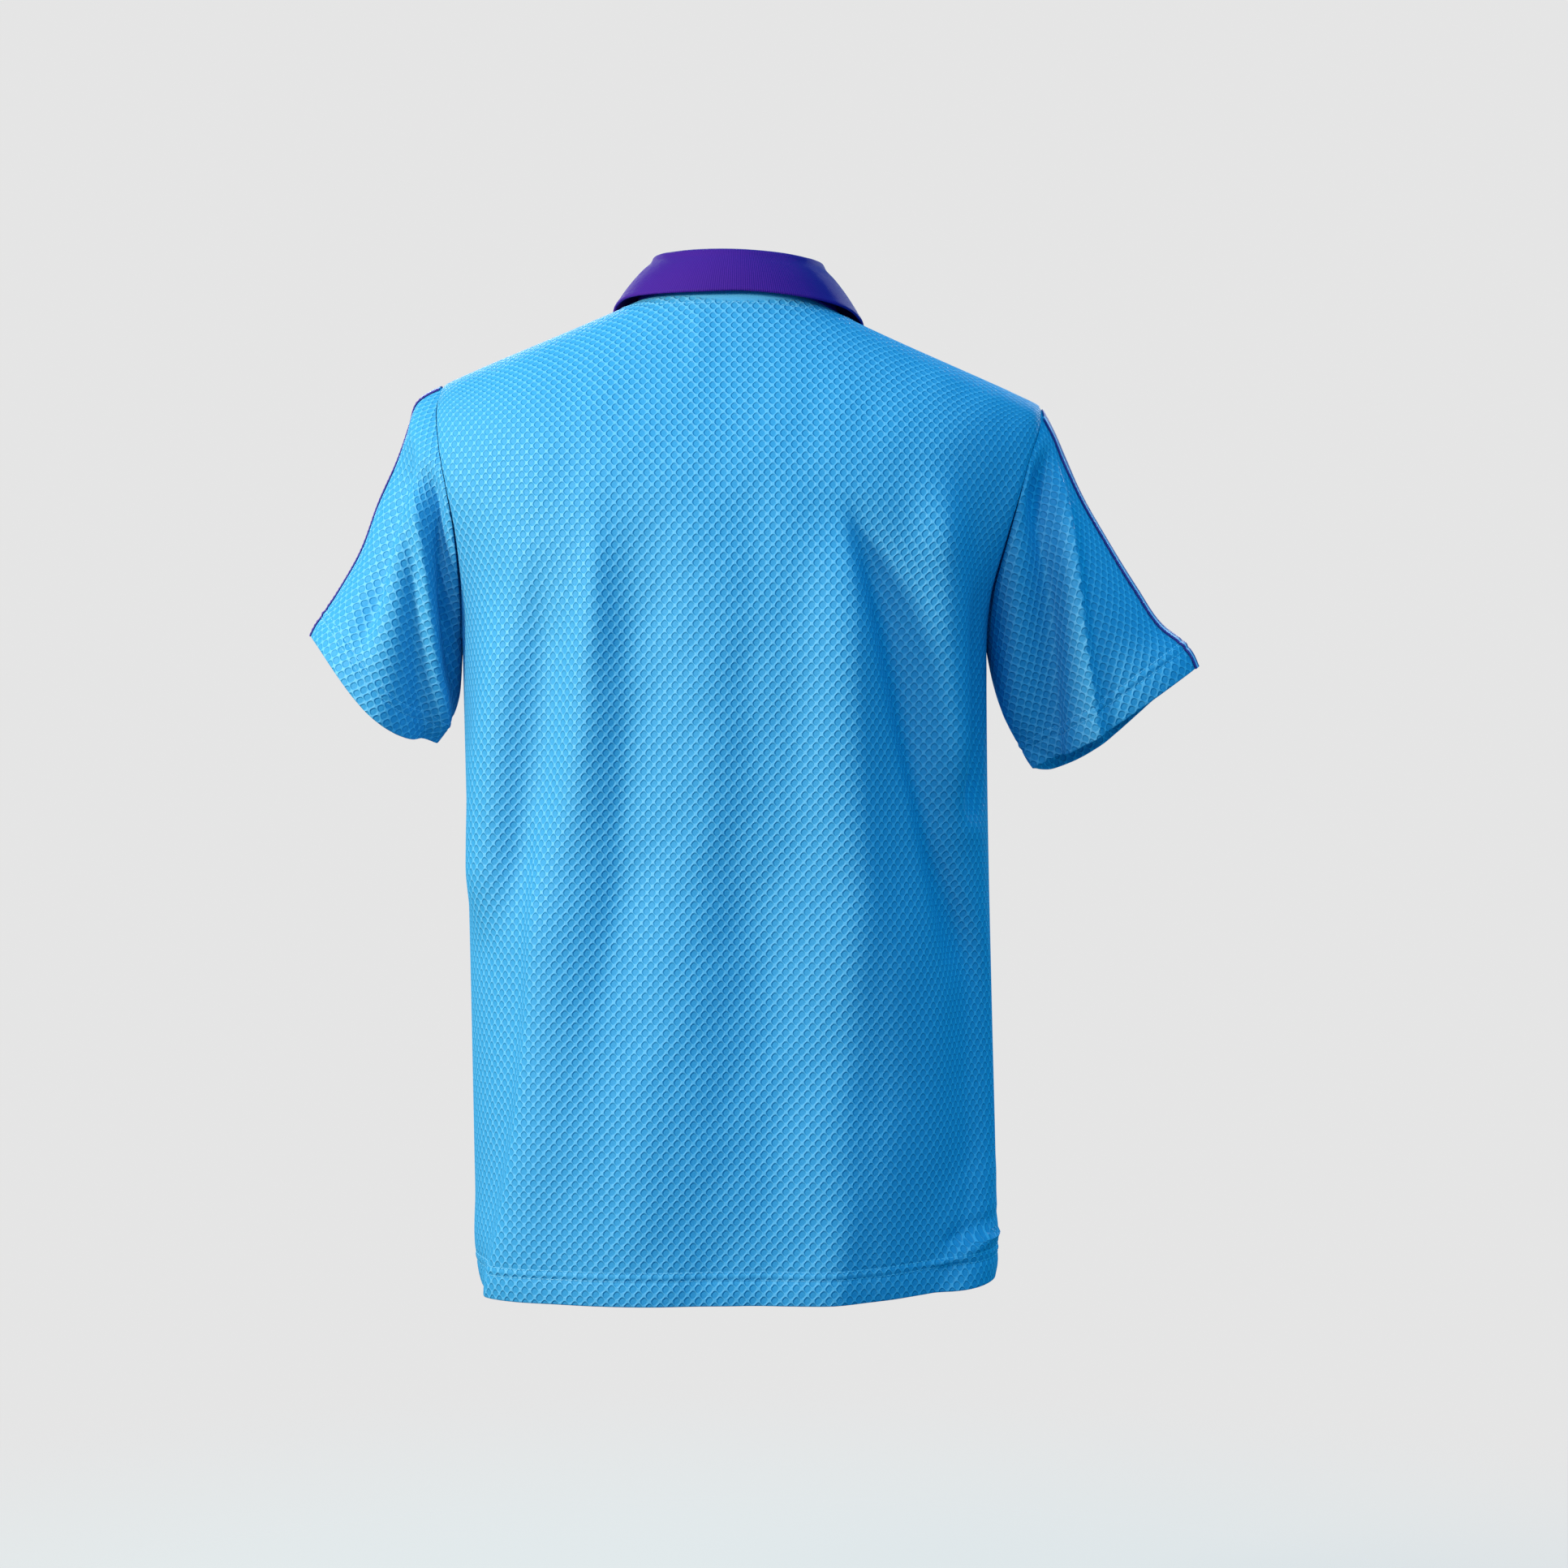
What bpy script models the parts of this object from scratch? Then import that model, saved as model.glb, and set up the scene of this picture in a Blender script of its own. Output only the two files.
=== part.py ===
"""A short-sleeved polo shirt in its worn, hollow form: front, back, two set-in sleeves, a turned-down
knitted collar, a buttoned placket and a tape along each shoulder and sleeve.

The shirt faces -Y, its back faces +Y and +X is the wearer's left. The origin is between the shoulders,
at the height of the left side of the neck. All sizes are in metres.
"""
import math
from collections import namedtuple

import bmesh
import bpy
import numpy as np

# ---------------------------------------------------------------- cloth and seams
CLOTH = 0.0013              # thickness of the body knit
COLLAR_CLOTH = 0.0018       # thickness of the flat-knitted collar
TAPE_CLOTH = 0.0010         # thickness of the shoulder and sleeve tapes
PLACKET_CLOTH = 0.0014      # thickness of one placket strip
SEAM = 0.0003               # gap between two pieces at a seam, and under what lies on a panel

# ---------------------------------------------------------------- levels of the body
UNDERARM_Z = -0.246         # height of both underarm points
HEM_Z = {"left": -0.7165, "right": -0.711, "back": -0.718, "front": -0.720}
TIP_Z = {"back": -0.108, "front": -0.150}       # middle of the row that runs to the shoulder tips
NECK_Z = {"back": 0.010, "front": -0.066}       # middle of the neck seam
UNDERARM_ROW = 0.52         # share of a panel's rows below the underarm
TIP_ROW = 0.82              # share of a panel's rows below the shoulder tips

# the half widths of the body at the side seams, from the hem up
Side = namedtuple("Side", "height left right")
SIDES = (
    Side(-0.725, 0.1866, -0.1872),
    Side(-0.700, 0.1930, -0.1908),
    Side(-0.645, 0.1942, -0.1900),
    Side(-0.510, 0.1970, -0.1868),
    Side(-0.344, 0.2010, -0.1834),
    Side(-0.246, 0.2034, -0.1826),
)

# the depth of the middle of the back and of the front, from the hem up
Depth = namedtuple("Depth", "height back front")
DEPTHS = (
    Depth(-0.730, 0.1150, -0.1120),
    Depth(-0.620, 0.1190, -0.1160),
    Depth(-0.500, 0.1170, -0.1170),
    Depth(-0.400, 0.1180, -0.1180),
    Depth(-0.300, 0.1260, -0.1240),
    Depth(-0.210, 0.1300, -0.1270),
    Depth(-0.150, 0.1250, -0.1180),
    Depth(-0.108, 0.1150, -0.1020),
    Depth(-0.066, 0.0980, -0.0800),
    Depth(-0.025, 0.0750, -0.0600),
    Depth(0.010, 0.0560, -0.0500),
)

# the armhole seams, from the shoulder tip (0) down the back to the underarm (180) and up the front
Armhole = namedtuple("Armhole", "turn x y z")
ARMHOLES = {
    "left": (
        Armhole(0, 0.2160, -0.002, -0.0538),
        Armhole(30, 0.2214, 0.025, -0.0720),
        Armhole(60, 0.2177, 0.052, -0.1035),
        Armhole(90, 0.2113, 0.063, -0.1360),
        Armhole(120, 0.2055, 0.057, -0.1680),
        Armhole(150, 0.2030, 0.036, -0.2060),
        Armhole(180, 0.2034, -0.002, -0.2460),
        Armhole(210, 0.2025, -0.034, -0.2070),
        Armhole(240, 0.2030, -0.054, -0.1680),
        Armhole(270, 0.2060, -0.061, -0.1320),
        Armhole(300, 0.2120, -0.051, -0.0980),
        Armhole(330, 0.2160, -0.028, -0.0700),
    ),
    "right": (
        Armhole(0, -0.2225, -0.002, -0.0695),
        Armhole(30, -0.2213, 0.025, -0.0875),
        Armhole(60, -0.2120, 0.050, -0.1120),
        Armhole(90, -0.2030, 0.061, -0.1426),
        Armhole(120, -0.1932, 0.055, -0.1770),
        Armhole(150, -0.1850, 0.035, -0.2110),
        Armhole(180, -0.1826, -0.002, -0.2460),
        Armhole(210, -0.1860, -0.033, -0.2110),
        Armhole(240, -0.1930, -0.053, -0.1750),
        Armhole(270, -0.2010, -0.060, -0.1420),
        Armhole(300, -0.2110, -0.050, -0.1120),
        Armhole(330, -0.2190, -0.027, -0.0860),
    ),
}

# the neck seam: where it crosses each shoulder, and its depth in front and behind
NECK_SIDE = {"left": (0.076, -0.012, 0.0058), "right": (-0.076, -0.012, -0.0050)}
NECK_DEPTH = {"back": 0.0560, "front": -0.0800}     # depth of the neck seam in the middle
SQUARENESS = 0.84           # below 1 the body's rows are squarer than an ellipse
SEAM_Y = -0.002             # depth of the plane that parts front and back, but for the neck

# ---------------------------------------------------------------- sleeves
# cuff ends: outer (top) point and inner (underarm) point in x, z; half depth; and how much lower the
# cuff hangs behind and in front than the straight line between its two points
Cuff = namedtuple("Cuff", "outer inner middle_y half_depth back_drop front_drop")
DROP_LATER = 1.4            # above 1 the cuff hangs lowest nearer its inner point
CUFFS = {
    "left": Cuff((0.3160, -0.2400), (0.2235, -0.3190), -0.004, 0.055, 0.014, 0.004),
    "right": Cuff((-0.3400, -0.2620), (-0.2180, -0.3380), -0.004, 0.043, 0.004, 0.014),
}
# how far the sleeve's top line stands out from a straight line, from the seam (0) to the cuff (1)
SleeveTop = namedtuple("SleeveTop", "along left right")
SLEEVE_TOP = (
    SleeveTop(0.00, 0.0000, 0.0000),
    SleeveTop(0.09, 0.0112, -0.0015),
    SleeveTop(0.17, 0.0084, -0.0042),
    SleeveTop(0.30, 0.0044, -0.0080),
    SleeveTop(0.47, 0.0012, -0.0094),
    SleeveTop(0.67, -0.0040, -0.0094),
    SleeveTop(0.82, -0.0026, -0.0074),
    SleeveTop(0.92, -0.0005, 0.0006),
    SleeveTop(1.00, 0.0000, 0.0000),
)
# the sleeve's lower line sags towards the body; a later above 1 puts the sag nearer the cuff
Sag = namedtuple("Sag", "depth later")
UNDERARM_SAG = {"left": Sag(0.0076, 1.35), "right": Sag(0.0068, 1.0)}

# ---------------------------------------------------------------- folds
# a fold on the body bends from (x_top, z_top) past x_mid to (x_low, z_low); left and right are its half
# widths towards +X and -X, grow is how much wider it gets on the way down, rise and fall are the lengths
# over which it starts and dies out, and out is its height, negative inwards
Fold = namedtuple("Fold", "x_top z_top x_mid x_low z_low left right grow rise fall out")
BACK_FOLDS = (
    Fold(0.152, -0.163, 0.167, 0.190, -0.476, 0.028, 0.019, 1.0, 0.10, 0.07, 0.0120),
    Fold(0.160, -0.174, 0.153, 0.170, -0.474, 0.015, 0.025, -0.5, 0.08, 0.08, -0.0100),
    Fold(0.100, -0.139, 0.108, 0.134, -0.455, 0.017, 0.014, 1.1, 0.10, 0.11, 0.0059),
    Fold(0.073, -0.131, 0.079, 0.108, -0.598, 0.017, 0.032, -0.1, 0.10, 0.19, -0.0073),
    Fold(0.002, -0.144, 0.024, 0.105, -0.735, 0.037, 0.040, 0.5, 0.11, 0.05, 0.0041),
    Fold(0.012, -0.316, -0.010, -0.009, -0.701, 0.040, 0.040, 1.2, 0.16, 0.03, -0.0077),
    Fold(-0.078, -0.147, -0.074, -0.068, -0.731, 0.030, 0.020, -0.1, 0.06, 0.03, 0.0046),
    Fold(-0.079, -0.139, -0.122, -0.170, -0.504, 0.009, 0.021, 0.4, 0.07, 0.11, -0.0130),
    Fold(-0.145, -0.116, -0.149, -0.161, -0.422, 0.016, 0.016, -0.2, 0.07, 0.11, 0.0120),
    Fold(-0.167, -0.194, -0.177, -0.168, -0.387, 0.010, 0.009, 0.2, 0.08, 0.04, -0.0127),
    Fold(-0.078, -0.159, -0.083, -0.119, -0.582, 0.036, 0.030, 0.8, 0.11, 0.14, 0.0120),
    Fold(-0.138, -0.376, -0.183, -0.141, -0.727, 0.040, 0.010, 1.2, 0.10, 0.03, -0.0130),
    Fold(0.143, -0.343, 0.145, 0.174, -0.723, 0.009, 0.036, 0.1, 0.12, 0.03, 0.0120),
    Fold(-0.018, -0.129, -0.004, -0.025, -0.422, 0.021, 0.016, 0.2, 0.10, 0.12, -0.0030),
)
FRONT_FOLDS = (
    Fold(0.150, -0.150, 0.152, 0.168, -0.480, 0.018, 0.014, 0.4, 0.08, 0.12, 0.0060),
    Fold(0.112, -0.160, 0.104, 0.092, -0.610, 0.016, 0.020, 0.5, 0.08, 0.18, -0.0070),
    Fold(0.070, -0.210, 0.058, 0.050, -0.735, 0.024, 0.028, 0.5, 0.12, 0.03, 0.0060),
    Fold(0.030, -0.330, 0.024, 0.030, -0.735, 0.020, 0.024, 0.5, 0.12, 0.03, -0.0040),
    Fold(-0.046, -0.240, -0.052, -0.060, -0.735, 0.026, 0.022, 0.5, 0.12, 0.03, 0.0055),
    Fold(-0.092, -0.150, -0.104, -0.128, -0.600, 0.018, 0.018, 0.5, 0.07, 0.18, -0.0080),
    Fold(-0.140, -0.150, -0.146, -0.162, -0.450, 0.014, 0.016, 0.4, 0.08, 0.12, 0.0060),
    Fold(-0.018, -0.400, -0.012, -0.004, -0.735, 0.018, 0.022, 0.3, 0.14, 0.03, -0.0035),
    Fold(0.128, -0.480, 0.126, 0.120, -0.735, 0.024, 0.020, 0.3, 0.12, 0.03, 0.0040),
)
FOLD_LEAST = 0.014          # the narrowest half width that the solids' own grid holds
TO_THE_HEM = -0.70          # a fold that ends lower than this doesn't die out above the hem
EDGE_CALM = 0.030           # strip beside a seam where folds die out
FACING_CALM = (0.10, 0.60)  # folds die out between these shares of a panel facing straight behind or ahead
SETTLE_TIMES = 16           # passes that round the cloth over the shoulder blades and the chest
SETTLE_EDGE = 0.065         # strip beside a seam that those passes leave where it is
SETTLE_BELOW = 4            # rows below the underarm where they begin

# the folds of a sleeve lie on its back half or its front half, in the same columns
SLEEVE_FOLDS = {
    "left": {
        "back": (
            Fold(0.2375, -0.095, 0.2575, 0.2755, -0.265, 0.010, 0.006, 0.3, 0.04, 0.05, -0.0110),
            Fold(0.2400, -0.130, 0.2520, 0.2640, -0.330, 0.011, 0.011, 0.5, 0.05, 0.03, 0.0030),
            Fold(0.2340, -0.150, 0.2285, 0.2195, -0.400, 0.010, 0.006, 0.3, 0.06, 0.03, -0.0070),
            Fold(0.2345, -0.120, 0.2217, 0.2085, -0.400, 0.006, 0.006, 0.3, 0.04, 0.03, 0.0065),
            Fold(0.2225, -0.112, 0.2045, 0.1930, -0.300, 0.013, 0.008, 0.2, 0.03, 0.04, -0.0160),
        ),
        "front": (
            Fold(0.2390, -0.110, 0.2580, 0.2720, -0.300, 0.010, 0.008, 0.3, 0.05, 0.05, -0.0060),
            Fold(0.2330, -0.130, 0.2350, 0.2380, -0.400, 0.009, 0.009, 0.3, 0.06, 0.03, 0.0045),
            Fold(0.2260, -0.140, 0.2200, 0.2120, -0.330, 0.010, 0.008, 0.2, 0.05, 0.05, -0.0080),
        ),
    },
    "right": {
        "back": (
            Fold(-0.2240, -0.095, -0.2262, -0.2300, -0.400, 0.018, 0.009, 0.1, 0.04, 0.03, -0.0170),
            Fold(-0.2300, -0.098, -0.2515, -0.2815, -0.400, 0.008, 0.004, 0.3, 0.04, 0.03, 0.0080),
            Fold(-0.2060, -0.130, -0.2010, -0.1990, -0.400, 0.010, 0.010, 0.2, 0.06, 0.03, 0.0040),
        ),
        "front": (
            Fold(-0.2330, -0.110, -0.2560, -0.2800, -0.380, 0.010, 0.009, 0.3, 0.05, 0.05, -0.0070),
            Fold(-0.2280, -0.130, -0.2360, -0.2450, -0.400, 0.010, 0.008, 0.3, 0.06, 0.03, 0.0050),
            Fold(-0.2180, -0.140, -0.2160, -0.2150, -0.350, 0.012, 0.010, 0.2, 0.05, 0.05, -0.0090),
        ),
    },
}
SLEEVE_SEAM_CALM = 0.10     # share of a sleeve beside the armhole where its folds die out
SLEEVE_FACING = (0.05, 0.40)    # they die out between these shares of facing straight behind or ahead
SLEEVE_SOFTEN = 1           # passes that round the folds of a sleeve into each other on its coarse rings

# ---------------------------------------------------------------- collar
COLLAR_TURN = 171.0         # degrees from the middle of the back to the collar's front end
COLLAR_BEND = 0.0030        # radius of the fold at the collar's top
# from the middle of the back (0) round to the front end; fold_* is the top fold, fall is how far
# the leaf reaches over the panel from the neck seam, clear is how far its edge stands off the panel
CollarLine = namedtuple("CollarLine", "turn fold_x fold_y fold_z_left fold_z_right fall clear")
COLLAR_LINES = (
    CollarLine(0, 0.0000, 0.0490, 0.0375, 0.0375, 0.008, 0.0050),
    CollarLine(45, 0.0440, 0.0335, 0.0385, 0.0350, 0.010, 0.0048),
    CollarLine(90, 0.0616, -0.0080, 0.0374, 0.0318, 0.0150, 0.0042),
    CollarLine(125, 0.0540, -0.0420, 0.0180, 0.0130, 0.030, 0.0042),
    CollarLine(150, 0.0340, -0.0590, -0.0130, -0.0170, 0.042, 0.0042),
    CollarLine(171, 0.0150, -0.0660, -0.0370, -0.0385, 0.046, 0.0042),
)
COLLAR_POINT_SPREAD = 26.0  # degrees by which the leaf's front edge slants back from the opening
SPREAD_START = 120.0        # degrees from the middle of the back where that slant begins
COLLAR_BOW = 0.0020         # how far the leaf bows out between the top fold and its edge
STAND_CLEAR = 0.0004        # height of the collar's foot over the neck edge, beside the seam's gap

# ---------------------------------------------------------------- placket, buttons and tapes
SLIT_WIDTH = 0.0024         # gap between the two edges of the front's opening
PLACKET_WIDTH = 0.032
PLACKET_ROWS = 16           # rows of the front, counted down from the neck seam, that it covers
PLACKET_TOP = 0.15          # share of one row that the placket stops short of the neck seam
BUTTON_RADIUS = 0.0056
BUTTON_THICK = 0.0022
BUTTON_RIM = 0.0009
BUTTON_FOOT = 0.0008        # how much narrower the underside is than the side
BUTTON_SIDE = 0.0007        # height above the underside where the side is straight
BUTTON_ROUND = 0.0006       # rounding of the rim's edges, and how deep the middle lies below the rim
BUTTON_SEGMENTS = 20
BUTTON_HOLE = 0.0008        # radius of each of the four sewing holes
HOLE_SPREAD = 0.27          # share of the button's radius at which they lie
BUTTON_ROWS = (1.6, 6.4, 12.0)  # rows of the front, counted down from the neck seam
TAPE_STEPS = (0.009, 0.018, 0.027)  # the tape's columns, measured from the shoulder seam
TAPE_RINGS = {"left": (-2, -1, 0, 1), "right": (-1, 0, 1, 2)}   # columns behind the top line under a tape

# ---------------------------------------------------------------- fineness
BODY_ROWS = 14              # rows from the hem to the underarm
SHOULDER_ROWS = 8           # rows from the shoulder tip to the neck
ARMHOLE_SHARES = (0.0, 0.045, 0.09, 0.15, 0.23, 0.32, 0.41, 0.50, 0.58, 0.66, 0.74, 0.82, 0.90, 1.0)
MIDDLE_COLUMNS = 11         # columns of half a panel between the tape's and the placket's
SLEEVE_RINGS = 13
COLLAR_STATIONS = 38
DENSE = 241                 # points on a row before it is spaced evenly

Colour = namedtuple("Colour", "rgb roughness")
BLUE = Colour((0.055, 0.40, 0.80), 0.55)
PURPLE = Colour((0.085, 0.030, 0.38), 0.65)
BUTTON_BLUE = Colour((0.06, 0.36, 0.72), 0.30)


# ---------------------------------------------------------------- small helpers
def smooth(share):
    """Ease from 0 to 1 with level ends."""
    share = np.clip(share, 0.0, 1.0)
    return share * share * (3.0 - 2.0 * share)


def spline(keys, values, at):
    """Cubic curve through values at rising keys, read at the given places."""
    keys = np.asarray(keys, float)
    values = np.asarray(values, float)
    at = np.clip(np.asarray(at, float), keys[0], keys[-1])
    slopes = np.gradient(values, keys, axis=0)
    index = np.clip(np.searchsorted(keys, at, side="right") - 1, 0, len(keys) - 2)
    step = keys[index + 1] - keys[index]
    t = (at - keys[index]) / step
    if values.ndim > 1:
        t = t[..., None]
        step = step[..., None]
    low, high = values[index], values[index + 1]
    slope_low, slope_high = slopes[index] * step, slopes[index + 1] * step
    t2, t3 = t * t, t * t * t
    return ((2 * t3 - 3 * t2 + 1) * low + (t3 - 2 * t2 + t) * slope_low
            + (3 * t2 - 2 * t3) * high + (t3 - t2) * slope_high)


def column(table, name):
    return [getattr(row, name) for row in table]


def unit(vectors):
    length = np.linalg.norm(vectors, axis=-1, keepdims=True)
    return vectors / np.maximum(length, 1e-12)


def spaced(points, places):
    """Points at the given distances along a dense polyline."""
    steps = np.linalg.norm(np.diff(points, axis=0), axis=1)
    run = np.concatenate([[0.0], np.cumsum(steps)])
    places = np.where(np.asarray(places) < 0, run[-1] + np.asarray(places), places)
    return np.stack([np.interp(places, run, points[:, k]) for k in range(3)], axis=1)


def bend(first, middle, last, share):
    """A curve through three places, read at a share of its length."""
    return (first * (1 - share) * (1 - 2 * share) + middle * 4 * share * (1 - share)
            + last * share * (2 * share - 1))


def length_of(points):
    return float(np.linalg.norm(np.diff(points, axis=0), axis=1).sum())


# ---------------------------------------------------------------- armholes and sleeves
def armhole_half(side, half):
    """Dense line of half an armhole, from the shoulder tip to the underarm."""
    rows = ARMHOLES[side]
    turns = [row.turn for row in rows] + [360.0]
    places = [(row.x, row.y, row.z) for row in rows] + [(rows[0].x, rows[0].y, rows[0].z)]
    turns = [turns[-2] - 360.0] + turns + [390.0]
    places = [places[-2]] + places + [places[1]]
    wanted = np.linspace(0, 180, DENSE) if half == "back" else np.linspace(360, 180, DENSE)
    return spline(turns, places, wanted)


def armhole_points(side, half, shares):
    line = armhole_half(side, half)
    return spaced(line, np.asarray(shares) * length_of(line))


def cuff_points(side, half, shares):
    """Half of the cuff's edge, from its outer to its inner point."""
    cuff = CUFFS[side]
    outer = np.array([cuff.outer[0], cuff.middle_y, cuff.outer[1]])
    inner = np.array([cuff.inner[0], cuff.middle_y, cuff.inner[1]])
    middle, arm = (outer + inner) / 2, (outer - inner) / 2
    down = unit(np.array([arm[2], 0.0, -arm[0]]) * (1 if side == "left" else -1))
    behind = 1 if half == "back" else -1
    drop = cuff.back_drop if half == "back" else cuff.front_drop
    angle = math.pi * np.linspace(0, 1, DENSE)[:, None]
    dense = (middle + arm * np.cos(angle) + np.array([0, behind * cuff.half_depth, 0]) * np.sin(angle)
             + down * drop * np.sin(math.pi * (angle / math.pi) ** DROP_LATER) ** 2)
    return spaced(dense, np.asarray(shares) * length_of(dense))


def sleeve_surface(side, shares, along):
    """Rings of a sleeve: [ring, place round it, xyz], from the top down the back and up the front."""
    inner_shares = shares[1:-1][::-1]
    seam = np.concatenate([armhole_points(side, "back", shares), armhole_points(side, "front", inner_shares)])
    cuff = np.concatenate([cuff_points(side, "back", shares), cuff_points(side, "front", inner_shares)])
    turn = np.concatenate([180 * np.asarray(shares), 360 - 180 * np.asarray(inner_shares)])
    along = np.asarray(along, float)[:, None, None]
    rings = seam * (1 - along) + cuff * along
    chord = cuff[0] - seam[0]
    outward = unit(np.array([-chord[2], 0.0, chord[0]]) * (1 if side == "left" else -1))
    rise = spline(column(SLEEVE_TOP, "along"), column(SLEEVE_TOP, side), along[..., 0])
    near_top = np.cos(np.radians(turn) / 2) ** 6
    rings = rings + (rise * near_top)[..., None] * outward
    near_low = np.sin(np.radians(turn) / 2) ** 8
    sag = UNDERARM_SAG[side]
    sag = sag.depth * np.sin(math.pi * np.clip(along[..., 0], 0, 1) ** sag.later) * near_low
    rings[..., 0] -= sag * (1 if side == "left" else -1)
    return rings


def sleeve_push(side, rings, along):
    """How far a sleeve's folds move its rings out: those behind on its back, those ahead on its front."""
    normals = ring_normals(rings)
    low, high = SLEEVE_FACING
    push = np.zeros(rings.shape[:2])
    for half, outward in (("back", 1), ("front", -1)):
        facing = smooth((outward * normals[..., 1] - low) / (high - low))
        push += fold_push(rings, SLEEVE_FOLDS[side][half]) * facing
    for _ in range(SLEEVE_SOFTEN):
        push[1:-1] = (push[:-2] + 2 * push[1:-1] + push[2:]) / 4
        push = (np.roll(push, 1, axis=1) + 2 * push + np.roll(push, -1, axis=1)) / 4
    return push * smooth(np.asarray(along) / SLEEVE_SEAM_CALM)[:, None]


def ring_normals(rings):
    """Unit normals of a sleeve's rings, turned outwards."""
    around = np.roll(rings, -1, axis=1) - np.roll(rings, 1, axis=1)
    along = np.gradient(rings, axis=0)
    normals = unit(np.cross(along, around))
    centres = rings.mean(axis=1, keepdims=True)
    return -normals if np.sum((rings - centres) * normals) < 0 else normals


# ---------------------------------------------------------------- body panels
def panel_edge(side, half, rows):
    """Where the rows of a panel end on one side: side seam, armhole, then shoulder seam."""
    tip = armhole_half(side, half)[0]
    neck = np.array(NECK_SIDE[side])
    ends = np.zeros((len(rows), 3))
    for k, row in enumerate(rows):
        if row <= UNDERARM_ROW:
            z = HEM_Z[side] + (UNDERARM_Z - HEM_Z[side]) * row / UNDERARM_ROW
            ends[k] = (float(spline(column(SIDES, "height"), column(SIDES, side), z)), SEAM_Y, z)
        elif row < TIP_ROW:
            share = (TIP_ROW - row) / (TIP_ROW - UNDERARM_ROW)
            ends[k] = armhole_points(side, half, [share])[0]
        else:
            ends[k] = tip + (neck - tip) * (row - TIP_ROW) / (1 - TIP_ROW)
    return ends


def panel_middle(half, rows):
    """Middle line of a panel, from the hem to the neck."""
    z = np.interp(rows, [0, UNDERARM_ROW, TIP_ROW, 1], [HEM_Z[half], UNDERARM_Z, TIP_Z[half], NECK_Z[half]])
    y = spline(column(DEPTHS, "height"), column(DEPTHS, half), z)
    left = spline(column(SIDES, "height"), column(SIDES, "left"), np.minimum(z, UNDERARM_Z))
    right = spline(column(SIDES, "height"), column(SIDES, "right"), np.minimum(z, UNDERARM_Z))
    lean = (left + right) / 2 * smooth((NECK_Z["back"] - z) / 0.25)
    return np.stack([lean, y, z], axis=1)


def half_row(middle, end):
    """Dense line of half a row: the part of a squared ellipse from the middle of the panel to its end."""
    reach = float(np.clip((end[1] - SEAM_Y) / (middle[1] - SEAM_Y), 0.0, 1.0))
    last = math.acos(reach ** (1 / SQUARENESS))
    angle = last * np.linspace(0, 1, DENSE)
    across = (np.sin(angle) / math.sin(last)) ** SQUARENESS
    depth = (np.maximum(np.cos(angle), 0.0) ** SQUARENESS - reach) / (1 - reach)
    x = middle[0] + (end[0] - middle[0]) * across
    y = end[1] + (middle[1] - end[1]) * depth
    z = middle[2] + (end[2] - middle[2]) * across ** (2 if end[2] > UNDERARM_Z else 3)
    return np.stack([x, y, z], axis=1)


def fold_push(points, folds):
    """How far a panel's folds move points out, from where they lie on the smooth body."""
    x, z = points[..., 0], points[..., 2]
    push = np.zeros(x.shape)
    for fold in folds:
        share = np.clip((fold.z_top - z) / (fold.z_top - fold.z_low), -0.2, 1.2)
        centre = bend(fold.x_top, fold.x_mid, fold.x_low, share)
        wide = np.where(x > centre, fold.left, fold.right) * (1 + fold.grow * (share - 0.5))
        wide = np.maximum(wide, FOLD_LEAST)
        height = fold.out * smooth((fold.z_top - z) / fold.rise)
        if fold.z_low > TO_THE_HEM:
            height = height * smooth((z - fold.z_low) / fold.fall)
        push += height * np.exp(-((x - centre) / wide) ** 2)
    return push


def calm_of(to_edge, rows, normals):
    """Share of a fold's height that is left beside seams, on the shoulders and on the body's sides."""
    low, high = FACING_CALM
    return (smooth(to_edge / EDGE_CALM) * smooth((1 - rows) / (1 - TIP_ROW))[:, None]
            * smooth((np.abs(normals[..., 1]) - low) / (high - low)))


def panel_rows():
    body = np.linspace(0, UNDERARM_ROW, BODY_ROWS + 1)
    arm = TIP_ROW - (TIP_ROW - UNDERARM_ROW) * np.array(ARMHOLE_SHARES)[::-1]
    shoulder = np.linspace(TIP_ROW, 1, SHOULDER_ROWS + 1)
    return np.concatenate([body, arm[1:], shoulder[1:]])


def settle(grid, free):
    """Round a panel's rows into each other above the chest, with its seams and neck held."""
    grid = grid.copy()
    first, last = BODY_ROWS - SETTLE_BELOW, len(grid) - 1
    share = smooth((np.arange(first, last) - first + 1) / SETTLE_BELOW)[:, None, None]
    for _ in range(SETTLE_TIMES):
        between = (grid[first - 1:last - 1] + grid[first + 1:last + 1]) / 2
        grid[first:last] += 0.5 * share * free[first:last, :, None] * (between - grid[first:last])
    return grid


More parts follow.
